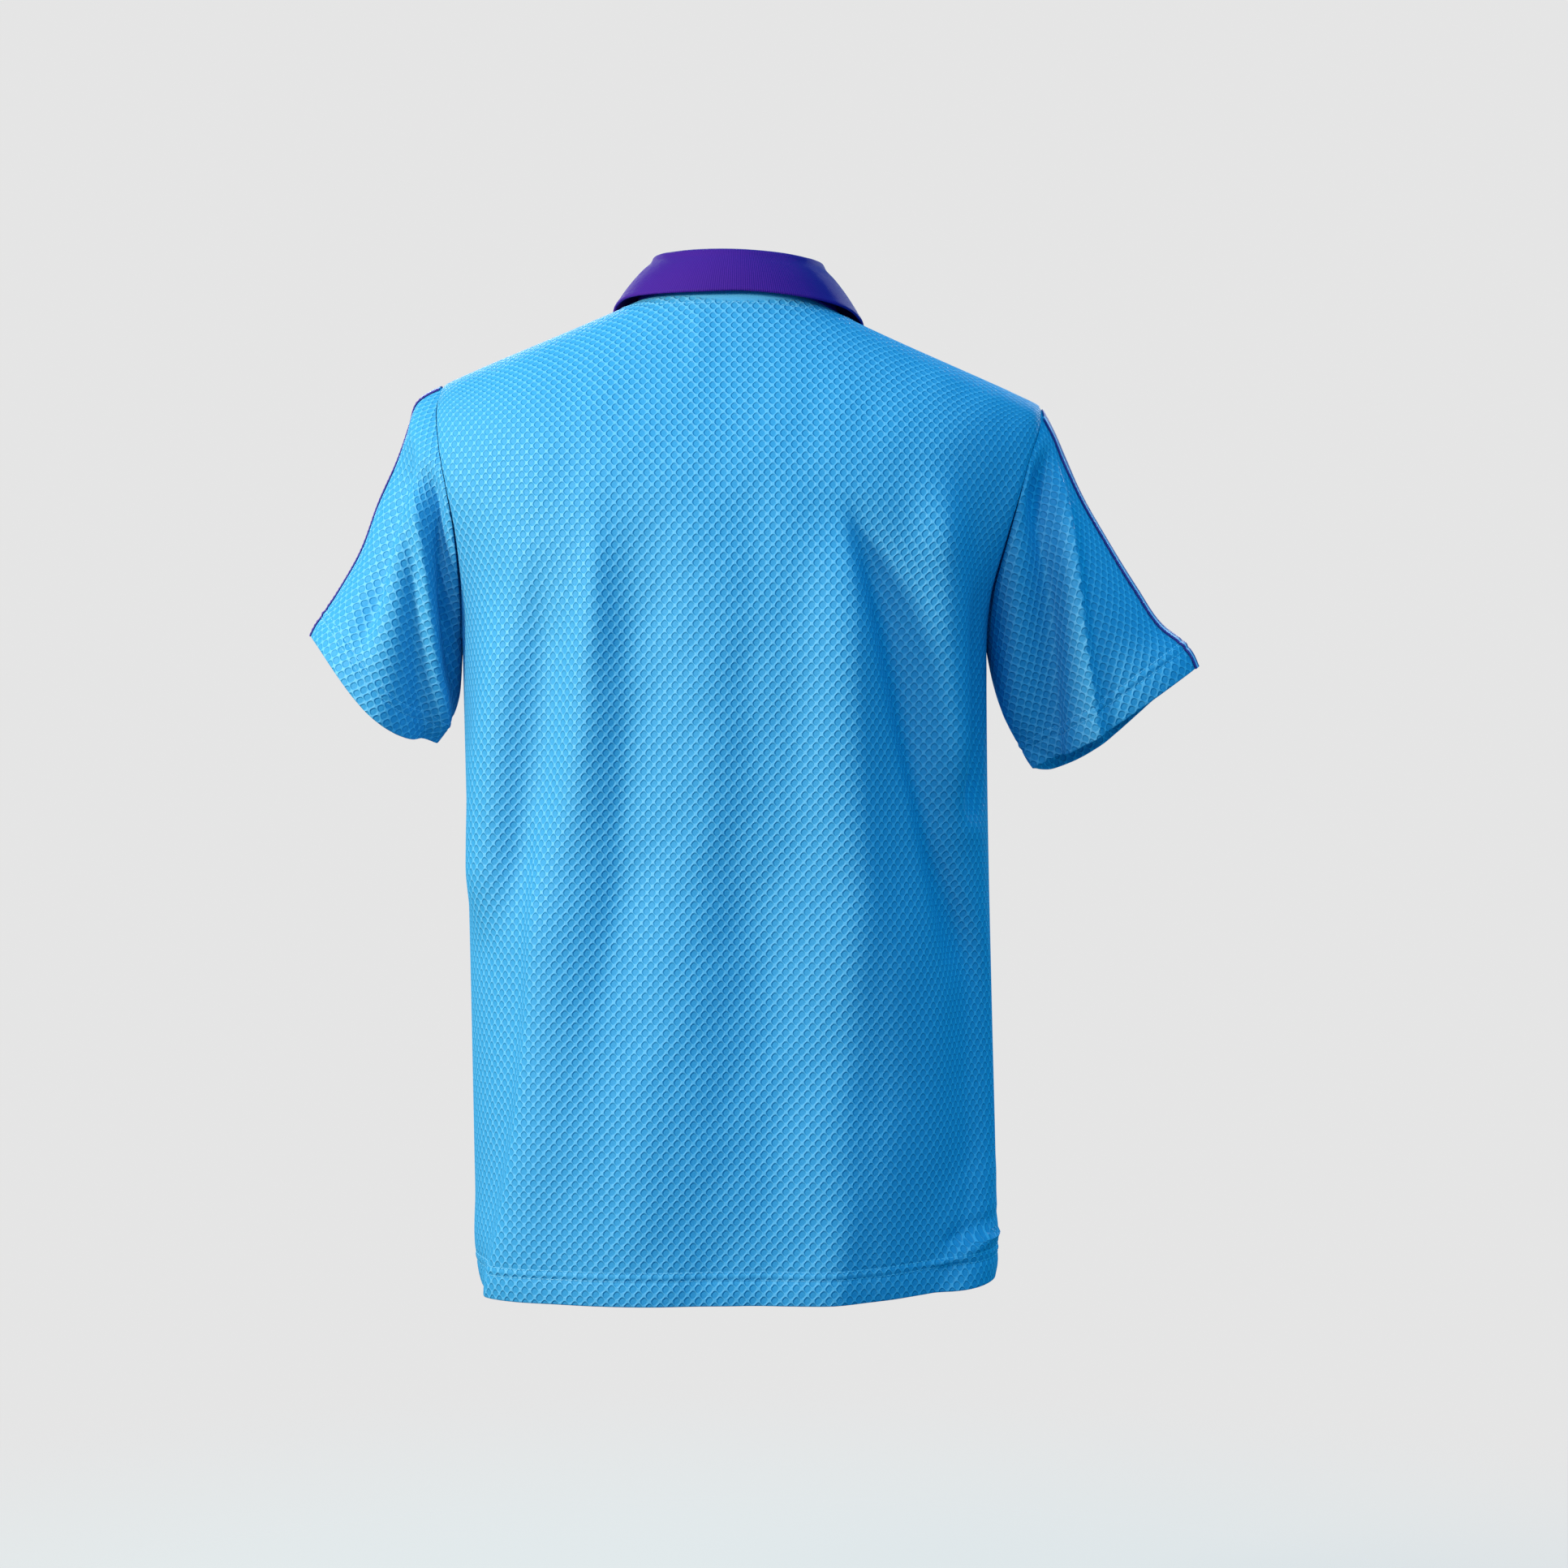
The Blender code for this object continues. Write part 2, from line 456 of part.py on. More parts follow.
def panel_surface(half, rows):
    """Grid of a panel with its folds, [row, column, xyz] from right to left, and its normals."""
    middles = panel_middle(half, rows)
    grid, to_edge, free = [], [], []
    halves = {side: panel_edge(side, half, rows) for side in ("left", "right")}
    for k in range(len(rows)):
        parts, edges, frees = [], [], []
        for side in ("right", "left"):
            line = half_row(middles[k], halves[side][k])
            whole = length_of(line)
            inner = [SLIT_WIDTH / 2, PLACKET_WIDTH / 2]
            outer = [whole - step for step in TAPE_STEPS[::-1]] + [whole - SEAM / 2]
            between = np.linspace(inner[-1], outer[0], MIDDLE_COLUMNS + 1)[1:-1]
            places = np.concatenate([inner, between, outer])
            points = spaced(line, places)
            edge = whole - places
            parts.append(points[::-1] if side == "right" else points)
            edges.append(edge[::-1] if side == "right" else edge)
            loose = np.clip((whole - places) / SETTLE_EDGE, 0, 1)
            frees.append(loose[::-1] if side == "right" else loose)
        grid.append(np.concatenate(parts))
        free.append(np.concatenate(frees))
        to_edge.append(np.concatenate(edges))
    grid = settle(np.array(grid), smooth(np.array(free)))
    outward = 1 if half == "back" else -1
    normals = grid_normals(grid, outward)
    folds = BACK_FOLDS if half == "back" else FRONT_FOLDS
    push = fold_push(grid, folds) * calm_of(np.array(to_edge), rows, normals)
    grid = grid + push[..., None] * normals
    return grid, grid_normals(grid, outward)


def grid_normals(grid, outward):
    """Unit normals of a grid, turned to the side that the outward direction names."""
    across = np.gradient(grid, axis=1)
    up = np.gradient(grid, axis=0)
    normals = unit(np.cross(across, up))
    middle = normals[len(grid) // 3, grid.shape[1] // 2]
    return normals if middle[1] * outward > 0 else -normals


# ---------------------------------------------------------------- solids
def new_object(name, verts, faces, colour):
    mesh = bpy.data.meshes.new(name)
    mesh.from_pydata([tuple(v) for v in verts], [], faces)
    work = bmesh.new()
    work.from_mesh(mesh)
    bmesh.ops.recalc_face_normals(work, faces=work.faces)
    work.to_mesh(mesh)
    work.free()
    mesh.shade_smooth()
    mesh.set_sharp_from_angle(angle=math.radians(50))
    obj = bpy.data.objects.new(name, mesh)
    bpy.context.scene.collection.objects.link(obj)
    obj.data.materials.append(material(name, colour))
    return obj


def material(name, colour):
    made = bpy.data.materials.new("mat_" + name)
    made.use_nodes = True
    shader = made.node_tree.nodes["Principled BSDF"]
    shader.inputs["Base Color"].default_value = (*colour.rgb, 1)
    shader.inputs["Roughness"].default_value = colour.roughness
    shader.inputs["Metallic"].default_value = 0.0
    made.diffuse_color = (*colour.rgb, 1)
    return made


def wall(name, outer, inner, colour, closed=False, cut=None, rising=0):
    """Closed wall between two grids. closed joins the last column to the first; cut leaves out cells.

    Each cell is two triangles. Cells from column number rising on are split upwards to the left, and the
    ones before it upwards to the right, so that a piece laid on a panel has the panel's own facets.
    """
    count, width = outer.shape[:2]
    cells = width if closed else width - 1
    keep = np.ones((count - 1, cells), bool) if cut is None else ~cut
    index, verts, faces = {}, [], []

    def corner(layer, row, col):
        key = (layer, row, col % width)
        if key not in index:
            index[key] = len(verts)
            verts.append((outer if layer == 0 else inner)[row, col % width])
        return index[key]

    def kept(row, col):
        if closed:
            col %= width
        return 0 <= row < count - 1 and 0 <= col < cells and keep[row, col]

    for row in range(count - 1):
        for col in range(cells):
            if not keep[row, col]:
                continue
            loop = ((row, col), (row, col + 1), (row + 1, col + 1), (row + 1, col))
            halves = ((0, 1, 2), (0, 2, 3)) if col < rising else ((0, 1, 3), (1, 2, 3))
            for half in halves:
                faces.append([corner(0, *loop[k]) for k in half])
                faces.append([corner(1, *loop[k]) for k in half[::-1]])
            sides = ((row - 1, col, 0, 1), (row, col + 1, 1, 2), (row + 1, col, 2, 3), (row, col - 1, 3, 0))
            for next_row, next_col, a, b in sides:
                if not kept(next_row, next_col):
                    faces.append([corner(0, *loop[a]), corner(1, *loop[a]), corner(1, *loop[b]),
                                  corner(0, *loop[b])])
    return new_object(name, verts, faces, colour)


def seam_normals(own, other, other_leaves):
    """Thickness direction at a seam: shared where the two walls bend away from each other."""
    bend = np.sum(own * other_leaves, axis=-1, keepdims=True)
    share = smooth((0.12 - bend) / 0.12)
    return unit(own * (1 - share) + unit(own + other) * share)


def build_body():
    """Front, back and both sleeves, whose thickness is shared where they meet."""
    rows = panel_rows()
    panels = {}
    for half in ("back", "front"):
        panels[half] = panel_surface(half, rows)

    sleeves = {}
    along = np.linspace(0, 1, SLEEVE_RINGS + 1)
    for side in ("left", "right"):
        rings = sleeve_surface(side, np.array(ARMHOLE_SHARES), along)
        push = sleeve_push(side, rings, along)
        normals = ring_normals(rings)
        rings = rings + push[..., None] * normals
        normals = ring_normals(rings)
        leaves = unit(rings[1] - rings[0])
        rings[0] += leaves * SEAM / 2
        sleeves[side] = [rings, normals, leaves]

    last = len(rows) - 1
    first_arm = BODY_ROWS
    last_arm = BODY_ROWS + len(ARMHOLE_SHARES) - 1
    used = {half: panels[half][1].copy() for half in panels}
    for side, col in (("right", 0), ("left", -1)):
        inward = 1 if side == "right" else -2
        for row in list(range(first_arm)) + list(range(last_arm + 1, last + 1)):
            shared = unit(panels["back"][1][row, col] + panels["front"][1][row, col])
            used["back"][row, col] = shared
            used["front"][row, col] = shared
        rings, normals, leaves = sleeves[side]
        sleeve_used = normals.copy()
        count = len(ARMHOLE_SHARES)
        for half in ("back", "front"):
            for row in range(first_arm, last_arm + 1):
                step = last_arm - row
                place = step if half == "back" else (-step) % (2 * count - 2)
                body = panels[half][1][row, col]
                share = seam_normals(body, normals[0, place], leaves[place])
                used[half][row, col] = share
                panel_leaves = unit(panels[half][0][row, inward] - panels[half][0][row, col])
                if 0 < step < count - 1:
                    sleeve_used[0, place] = seam_normals(normals[0, place], body, panel_leaves)
        for row in (first_arm, last_arm):
            shared = unit(used["back"][row, col] + used["front"][row, col])
            used["back"][row, col] = shared
            used["front"][row, col] = shared
        sleeve_used[0, 0] = shared
        sleeves[side].append(sleeve_used)

    front_cut = np.zeros((last, panels["front"][0].shape[1] - 1), bool)
    middle_cell = front_cut.shape[1] // 2
    front_cut[last - PLACKET_ROWS + 1:, middle_cell] = True
    for half in ("back", "front"):
        grid = panels[half][0]
        wall(half, grid, grid - used[half] * CLOTH, BLUE, cut=front_cut if half == "front" else None,
             rising=middle_cell)
    for side in ("left", "right"):
        rings, _, _, sleeve_used = sleeves[side]
        wall("sleeve_" + side, rings, rings - sleeve_used * CLOTH, BLUE, closed=True)
    return panels, sleeves


# ---------------------------------------------------------------- pieces that lie on a panel
def build_tapes(panels, sleeves):
    """One tape along the front of each shoulder seam and one down each sleeve's top line."""
    grid, normals = panels["front"]
    first = BODY_ROWS + len(ARMHOLE_SHARES) - 1
    columns = {"right": slice(0, len(TAPE_STEPS) + 1), "left": slice(-len(TAPE_STEPS) - 1, None)}
    for side in ("left", "right"):
        under = grid[first:, columns[side]] + normals[first:, columns[side]] * SEAM
        over = under + normals[first:, columns[side]] * TAPE_CLOTH
        wall("shoulder_tape_" + side, over, under, PURPLE, rising=len(TAPE_STEPS) if side == "right" else 0)
        rings, ring_out = sleeves[side][0], sleeves[side][1]
        picked = list(TAPE_RINGS[side])
        low = rings[1:, picked] + ring_out[1:, picked] * SEAM
        high = low + ring_out[1:, picked] * TAPE_CLOTH
        wall("sleeve_tape_" + side, high, low, PURPLE)


def build_placket(panels):
    """Upper strip outside the front's opening, under strip inside it, and the buttons."""
    grid, normals = panels["front"]
    middle = grid.shape[1] // 2
    cols = slice(middle - 2, middle + 2)
    rows = slice(len(grid) - 1 - PLACKET_ROWS, len(grid))
    strip, out = grid[rows, cols].copy(), normals[rows, cols]
    strip[-1] += (strip[-2] - strip[-1]) * PLACKET_TOP
    wall("placket_upper", strip + out * (SEAM + PLACKET_CLOTH), strip + out * SEAM, BLUE)
    inside = strip - out * (CLOTH + SEAM)
    wall("placket_under", inside, inside - out * PLACKET_CLOTH, BLUE)
    for number, row in enumerate(BUTTON_ROWS):
        low = int(math.floor(len(grid) - 1 - row))
        share = len(grid) - 1 - row - low
        centre = (grid[low, middle - 1:middle + 1].mean(axis=0) * (1 - share)
                  + grid[low + 1, middle - 1:middle + 1].mean(axis=0) * share)
        facing = unit(normals[low, middle] * (1 - share) + normals[low + 1, middle] * share)
        build_button("button_%d" % (number + 1), centre + facing * (2 * SEAM + PLACKET_CLOTH), facing)


def build_button(name, seat, facing):
    """A turned disc with a raised rim and four sewing holes."""
    side = unit(np.cross(facing, (0.0, 0.0, 1.0)))
    up = np.cross(side, facing)
    shoulder = BUTTON_THICK - BUTTON_ROUND
    inner = BUTTON_RADIUS - BUTTON_RIM - BUTTON_ROUND
    profile = ((BUTTON_RADIUS - BUTTON_FOOT, 0.0), (BUTTON_RADIUS, BUTTON_SIDE), (BUTTON_RADIUS, shoulder),
               (BUTTON_RADIUS - BUTTON_ROUND, BUTTON_THICK), (inner, BUTTON_THICK),
               (inner - BUTTON_ROUND, shoulder))
    work = bmesh.new()
    rings = []
    for radius, height in profile:
        ring = []
        for k in range(BUTTON_SEGMENTS):
            angle = math.tau * k / BUTTON_SEGMENTS
            place = seat + side * radius * math.cos(angle) + up * radius * math.sin(angle) + facing * height
            ring.append(work.verts.new(place))
        rings.append(ring)
    for low, high in zip(rings, rings[1:]):
        for k in range(BUTTON_SEGMENTS):
            after = (k + 1) % BUTTON_SEGMENTS
            work.faces.new((low[k], low[after], high[after], high[k]))
    work.faces.new(rings[0][::-1])
    work.faces.new(rings[-1])
    bmesh.ops.recalc_face_normals(work, faces=work.faces)
    mesh = bpy.data.meshes.new(name)
    work.to_mesh(mesh)
    work.free()
    mesh.shade_smooth()
    mesh.set_sharp_from_angle(angle=math.radians(40))
    button = bpy.data.objects.new(name, mesh)
    bpy.context.scene.collection.objects.link(button)
    button.data.materials.append(material(name, BUTTON_BLUE))
    for k in range(4):
        angle = math.radians(45 + 90 * k)
        place = seat + (side * math.cos(angle) + up * math.sin(angle)) * BUTTON_RADIUS * HOLE_SPREAD
        cut_hole(button, place, facing)


def cut_hole(button, place, facing):
    """Cut one sewing hole right through a button."""
    work = bmesh.new()
    bmesh.ops.create_cone(work, cap_ends=True, segments=8, radius1=BUTTON_HOLE, radius2=BUTTON_HOLE,
                          depth=BUTTON_THICK * 4)
    mesh = bpy.data.meshes.new("hole")
    work.to_mesh(mesh)
    work.free()
    cutter = bpy.data.objects.new("hole_cutter", mesh)
    bpy.context.scene.collection.objects.link(cutter)
    from_z = np.array([0.0, 0.0, 1.0])
    axis = np.cross(from_z, facing)
    angle = math.acos(float(np.clip(np.dot(from_z, facing), -1, 1)))
    cutter.rotation_mode = "AXIS_ANGLE"
    cutter.rotation_axis_angle = (angle, *unit(axis))
    cutter.location = place
    cutter.hide_render = True
    cutter.display_type = "WIRE"
    cut = button.modifiers.new("hole", "BOOLEAN")
    cut.operation = "DIFFERENCE"
    cut.solver = "EXACT"
    cut.object = cutter


# ---------------------------------------------------------------- collar
def panel_point(panels, turn, reach, clear):
    """A place on the body, reached over the panel from the neck seam, and moved out from it."""
    half = "back" if abs(turn) < 90 else "front"
    grid, normals = panels[half]
    row_run = np.linalg.norm(np.diff(grid[::-1], axis=0), axis=2).cumsum(axis=0)
    row_run = np.concatenate([np.zeros((1, grid.shape[1])), row_run])
    ring = grid[-1]
    centre_y = NECK_SIDE["left"][1]
    depth = abs(NECK_DEPTH[half] - centre_y)
    angle = np.degrees(np.arctan2(ring[:, 0] / NECK_SIDE["left"][0], (ring[:, 1] - centre_y) / depth))
    order = np.argsort(angle % 360 if half == "front" else angle)
    ordered = (angle % 360 if half == "front" else angle)[order]
    wanted = turn % 360 if half == "front" else turn
    place = np.interp(wanted, ordered, order.astype(float))
    low = int(np.clip(math.floor(place), 0, grid.shape[1] - 2))
    share = place - low
    result, facing = np.zeros(3), np.zeros(3)
    for col, weight in ((low, 1 - share), (low + 1, share)):
        run = row_run[:, col]
        line, line_normals = grid[::-1, col], normals[::-1, col]
        for k in range(3):
            result[k] += weight * np.interp(reach, run, line[:, k])
            facing[k] += weight * np.interp(reach, run, line_normals[:, k])
    return result + unit(facing) * clear


def collar_value(name, turn, mirror=1):
    """One column of the collar's table, read at a turn; negative turns are on the right."""
    right, left = (name + "_right", name + "_left") if name == "fold_z" else (name, name)
    turns = [-row.turn for row in COLLAR_LINES[:0:-1]] + column(COLLAR_LINES, "turn")
    values = [mirror * getattr(row, right) for row in COLLAR_LINES[:0:-1]] + column(COLLAR_LINES, left)
    return float(spline(turns, values, turn))


def build_collar(panels):
    """One knitted strip: it stands up from the neck seam, folds over and falls outside."""
    turns = np.linspace(-COLLAR_TURN, COLLAR_TURN, COLLAR_STATIONS + 1)
    sections = []
    for turn in turns:
        size = abs(turn)
        sign = 1 if turn > 0 else -1
        fold = np.array([collar_value("fold_x", turn, mirror=-1), collar_value("fold_y", turn),
                         collar_value("fold_z", turn)])
        fall = collar_value("fall", turn)
        clear = collar_value("clear", turn)
        slant = COLLAR_POINT_SPREAD * smooth((size - SPREAD_START) / (COLLAR_TURN - SPREAD_START))
        seam = panel_point(panels, turn, 0.0, 0.0)
        edge = panel_point(panels, sign * (size - slant), fall, clear + COLLAR_CLOTH / 2)
        away = unit(np.array([fold[0], fold[1] - NECK_SIDE["left"][1], 0.0]))
        stand_low = seam + np.array([0, 0, SEAM + STAND_CLEAR]) - away * COLLAR_CLOTH * 0.5
        inner_top = fold - away * COLLAR_BEND - np.array([0, 0, COLLAR_BEND])
        outer_top = fold + away * COLLAR_BEND - np.array([0, 0, COLLAR_BEND])
        line = [stand_low * (1 - s) + inner_top * s for s in (0.0, 0.5, 1.0)]
        for step in (1, 2, 3):
            angle = math.pi * step / 4
            line.append(fold - np.array([0, 0, COLLAR_BEND]) - away * COLLAR_BEND * math.cos(angle)
                        + np.array([0, 0, COLLAR_BEND * math.sin(angle)]))
        line.append(outer_top)
        for share in (0.25, 0.5, 0.75, 1.0):
            bow = math.sin(math.pi * share) * COLLAR_BOW
            line.append(outer_top * (1 - share) + edge * share + away * bow)
        sections.append(line)
    middle = np.array(sections)
    along = np.gradient(middle, axis=0)
    across = np.gradient(middle, axis=1)
    normals = unit(np.cross(along, across))
    over = middle + normals * COLLAR_CLOTH / 2
    under = middle - normals * COLLAR_CLOTH / 2
    wall("collar", over, under, PURPLE)


def clear_scene():
    for obj in list(bpy.data.objects):
        bpy.data.objects.remove(obj, do_unlink=True)


def main():
    clear_scene()
    panels, sleeves = build_body()
    build_tapes(panels, sleeves)
    build_placket(panels)
    build_collar(panels)


main()
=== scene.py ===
"""Looks of the polo shirt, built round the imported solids: fine cloth shells, knit, sewing and light.

The shells are worked out from the same sizes as the solids, on a finer grid. All sizes are in metres.
The shirt faces -Y, its back faces +Y and +X is the wearer's left.
"""
import math
from collections import namedtuple

import bpy
import numpy as np
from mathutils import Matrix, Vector


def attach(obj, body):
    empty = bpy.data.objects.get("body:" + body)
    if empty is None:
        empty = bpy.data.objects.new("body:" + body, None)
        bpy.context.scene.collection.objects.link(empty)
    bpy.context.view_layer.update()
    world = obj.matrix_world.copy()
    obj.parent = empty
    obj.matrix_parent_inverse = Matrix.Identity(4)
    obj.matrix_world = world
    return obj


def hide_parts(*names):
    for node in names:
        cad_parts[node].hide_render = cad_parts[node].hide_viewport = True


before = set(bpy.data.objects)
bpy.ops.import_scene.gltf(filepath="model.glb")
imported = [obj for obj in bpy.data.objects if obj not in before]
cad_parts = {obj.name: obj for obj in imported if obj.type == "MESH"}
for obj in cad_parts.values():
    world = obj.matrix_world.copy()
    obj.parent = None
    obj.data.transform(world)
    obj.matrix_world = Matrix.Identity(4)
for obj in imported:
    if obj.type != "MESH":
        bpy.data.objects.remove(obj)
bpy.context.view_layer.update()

# ---------------------------------------------------------------- cloth and seams, as in the solids
CLOTH = 0.0013
COLLAR_CLOTH = 0.0018
TAPE_CLOTH = 0.0010
PLACKET_CLOTH = 0.0014
SEAM = 0.0003
UNDERARM_Z = -0.246
HEM_Z = {"left": -0.7165, "right": -0.711, "back": -0.718, "front": -0.720}
TIP_Z = {"back": -0.108, "front": -0.150}
NECK_Z = {"back": 0.010, "front": -0.066}
NECK_DEPTH = {"back": 0.0560, "front": -0.0800}
UNDERARM_ROW = 0.52
TIP_ROW = 0.82

Side = namedtuple("Side", "height left right")
SIDES = (
    Side(-0.725, 0.1866, -0.1872),
    Side(-0.700, 0.1930, -0.1908),
    Side(-0.645, 0.1942, -0.1900),
    Side(-0.510, 0.1970, -0.1868),
    Side(-0.344, 0.2010, -0.1834),
    Side(-0.246, 0.2034, -0.1826),
)
Depth = namedtuple("Depth", "height back front")
DEPTHS = (
    Depth(-0.730, 0.1150, -0.1120),
    Depth(-0.620, 0.1190, -0.1160),
    Depth(-0.500, 0.1170, -0.1170),
    Depth(-0.400, 0.1180, -0.1180),
    Depth(-0.300, 0.1260, -0.1240),
    Depth(-0.210, 0.1300, -0.1270),
    Depth(-0.150, 0.1250, -0.1180),
    Depth(-0.108, 0.1150, -0.1020),
    Depth(-0.066, 0.0980, -0.0800),
    Depth(-0.025, 0.0750, -0.0600),
    Depth(0.010, 0.0560, -0.0500),
)
Armhole = namedtuple("Armhole", "turn x y z")
ARMHOLES = {
    "left": (
        Armhole(0, 0.2160, -0.002, -0.0538),
        Armhole(30, 0.2214, 0.025, -0.0720),
        Armhole(60, 0.2177, 0.052, -0.1035),
        Armhole(90, 0.2113, 0.063, -0.1360),
        Armhole(120, 0.2055, 0.057, -0.1680),
        Armhole(150, 0.2030, 0.036, -0.2060),
        Armhole(180, 0.2034, -0.002, -0.2460),
        Armhole(210, 0.2025, -0.034, -0.2070),
        Armhole(240, 0.2030, -0.054, -0.1680),
        Armhole(270, 0.2060, -0.061, -0.1320),
        Armhole(300, 0.2120, -0.051, -0.0980),
        Armhole(330, 0.2160, -0.028, -0.0700),
    ),
    "right": (
        Armhole(0, -0.2225, -0.002, -0.0695),
        Armhole(30, -0.2213, 0.025, -0.0875),
        Armhole(60, -0.2120, 0.050, -0.1120),
        Armhole(90, -0.2030, 0.061, -0.1426),
        Armhole(120, -0.1932, 0.055, -0.1770),
        Armhole(150, -0.1850, 0.035, -0.2110),
        Armhole(180, -0.1826, -0.002, -0.2460),
        Armhole(210, -0.1860, -0.033, -0.2110),
        Armhole(240, -0.1930, -0.053, -0.1750),
        Armhole(270, -0.2010, -0.060, -0.1420),
        Armhole(300, -0.2110, -0.050, -0.1120),
        Armhole(330, -0.2190, -0.027, -0.0860),
    ),
}
NECK_SIDE = {"left": (0.076, -0.012, 0.0058), "right": (-0.076, -0.012, -0.0050)}
SQUARENESS = 0.84
SEAM_Y = -0.002
OUTWARD = {"back": 1, "front": -1}  # which way along Y each half faces
SIDEWAYS = {"left": 1, "right": -1}     # and along X each side
SIDE_COLUMNS = (("right", 0, 1), ("left", -1, -2))  # a panel's column at each side, and the one beside it

Cuff = namedtuple("Cuff", "outer inner middle_y half_depth back_drop front_drop")
DROP_LATER = 1.4
CUFFS = {
    "left": Cuff((0.3160, -0.2400), (0.2235, -0.3190), -0.004, 0.055, 0.014, 0.004),
    "right": Cuff((-0.3400, -0.2620), (-0.2180, -0.3380), -0.004, 0.043, 0.004, 0.014),
}
SleeveTop = namedtuple("SleeveTop", "along left right")
SLEEVE_TOP = (
    SleeveTop(0.00, 0.0000, 0.0000),
    SleeveTop(0.09, 0.0112, -0.0015),
    SleeveTop(0.17, 0.0084, -0.0042),
    SleeveTop(0.30, 0.0044, -0.0080),
    SleeveTop(0.47, 0.0012, -0.0094),
    SleeveTop(0.67, -0.0040, -0.0094),
    SleeveTop(0.82, -0.0026, -0.0074),
    SleeveTop(0.92, -0.0005, 0.0006),
    SleeveTop(1.00, 0.0000, 0.0000),
)
TOP_NARROW = 6              # how narrow the part round a sleeve is that its top line moves
SAG_NARROW = 8              # and the part that sags below the arm
Sag = namedtuple("Sag", "depth later")
UNDERARM_SAG = {"left": Sag(0.0076, 1.35), "right": Sag(0.0068, 1.0)}

# ---------------------------------------------------------------- folds
# a fold on the body bends from (x_top, z_top) past x_mid to (x_low, z_low); left and right are its half
# widths towards +X and -X, grow is how much wider it gets on the way down, rise and fall are the lengths
# over which it starts and dies out, and out is its height, negative inwards
Fold = namedtuple("Fold", "x_top z_top x_mid x_low z_low left right grow rise fall out")
BACK_FOLDS = (
    Fold(0.152, -0.163, 0.167, 0.190, -0.476, 0.028, 0.019, 1.0, 0.10, 0.07, 0.0120),
    Fold(0.160, -0.174, 0.153, 0.170, -0.474, 0.015, 0.025, -0.5, 0.08, 0.08, -0.0100),
    Fold(0.100, -0.139, 0.108, 0.134, -0.455, 0.017, 0.014, 1.1, 0.10, 0.11, 0.0059),
    Fold(0.073, -0.131, 0.079, 0.108, -0.598, 0.017, 0.032, -0.1, 0.10, 0.19, -0.0073),
    Fold(0.002, -0.144, 0.024, 0.105, -0.735, 0.037, 0.040, 0.5, 0.11, 0.05, 0.0041),
    Fold(0.012, -0.316, -0.010, -0.009, -0.701, 0.040, 0.040, 1.2, 0.16, 0.03, -0.0077),
    Fold(-0.078, -0.147, -0.074, -0.068, -0.731, 0.030, 0.020, -0.1, 0.06, 0.03, 0.0046),
    Fold(-0.079, -0.139, -0.122, -0.170, -0.504, 0.009, 0.021, 0.4, 0.07, 0.11, -0.0130),
    Fold(-0.145, -0.116, -0.149, -0.161, -0.422, 0.016, 0.016, -0.2, 0.07, 0.11, 0.0120),
    Fold(-0.167, -0.194, -0.177, -0.168, -0.387, 0.010, 0.009, 0.2, 0.08, 0.04, -0.0127),
    Fold(-0.078, -0.159, -0.083, -0.119, -0.582, 0.036, 0.030, 0.8, 0.11, 0.14, 0.0120),
    Fold(-0.138, -0.376, -0.183, -0.141, -0.727, 0.040, 0.010, 1.2, 0.10, 0.03, -0.0130),
    Fold(0.143, -0.343, 0.145, 0.174, -0.723, 0.009, 0.036, 0.1, 0.12, 0.03, 0.0120),
    Fold(-0.018, -0.129, -0.004, -0.025, -0.422, 0.021, 0.016, 0.2, 0.10, 0.12, -0.0030),
)
FRONT_FOLDS = (
    Fold(0.150, -0.150, 0.152, 0.168, -0.480, 0.018, 0.014, 0.4, 0.08, 0.12, 0.0060),
    Fold(0.112, -0.160, 0.104, 0.092, -0.610, 0.016, 0.020, 0.5, 0.08, 0.18, -0.0070),
    Fold(0.070, -0.210, 0.058, 0.050, -0.735, 0.024, 0.028, 0.5, 0.12, 0.03, 0.0060),
    Fold(0.030, -0.330, 0.024, 0.030, -0.735, 0.020, 0.024, 0.5, 0.12, 0.03, -0.0040),
    Fold(-0.046, -0.240, -0.052, -0.060, -0.735, 0.026, 0.022, 0.5, 0.12, 0.03, 0.0055),
    Fold(-0.092, -0.150, -0.104, -0.128, -0.600, 0.018, 0.018, 0.5, 0.07, 0.18, -0.0080),
    Fold(-0.140, -0.150, -0.146, -0.162, -0.450, 0.014, 0.016, 0.4, 0.08, 0.12, 0.0060),
    Fold(-0.018, -0.400, -0.012, -0.004, -0.735, 0.018, 0.022, 0.3, 0.14, 0.03, -0.0035),
    Fold(0.128, -0.480, 0.126, 0.120, -0.735, 0.024, 0.020, 0.3, 0.12, 0.03, 0.0040),
)
# small creases of the back, which the solids leave out
BACK_CREASES = (
    Fold(-0.1880, -0.6740, -0.1690, -0.1480, -0.6985, 0.010, 0.010, 0.0, 0.004, 0.008, 0.0036),
    Fold(-0.1890, -0.6600, -0.1720, -0.1560, -0.6820, 0.008, 0.010, 0.0, 0.004, 0.006, -0.0022),
    Fold(-0.1850, -0.6200, -0.1700, -0.1620, -0.6780, 0.010, 0.012, 0.2, 0.02, 0.02, 0.0014),
    Fold(0.0290, -0.0040, 0.0300, 0.0330, -0.0720, 0.006, 0.012, 0.4, 0.010, 0.040, 0.0009),
)
CREASE_CALM = 0.016         # strip beside a seam in which they die out
TO_THE_HEM = -0.70          # a fold that ends lower than this doesn't die out above the hem
FOLD_BEYOND = 0.2           # share of its length over which a fold keeps bending past its ends
EDGE_CALM = 0.030
FACING_CALM = (0.10, 0.60)  # folds die out between these shares of a panel facing straight behind or ahead
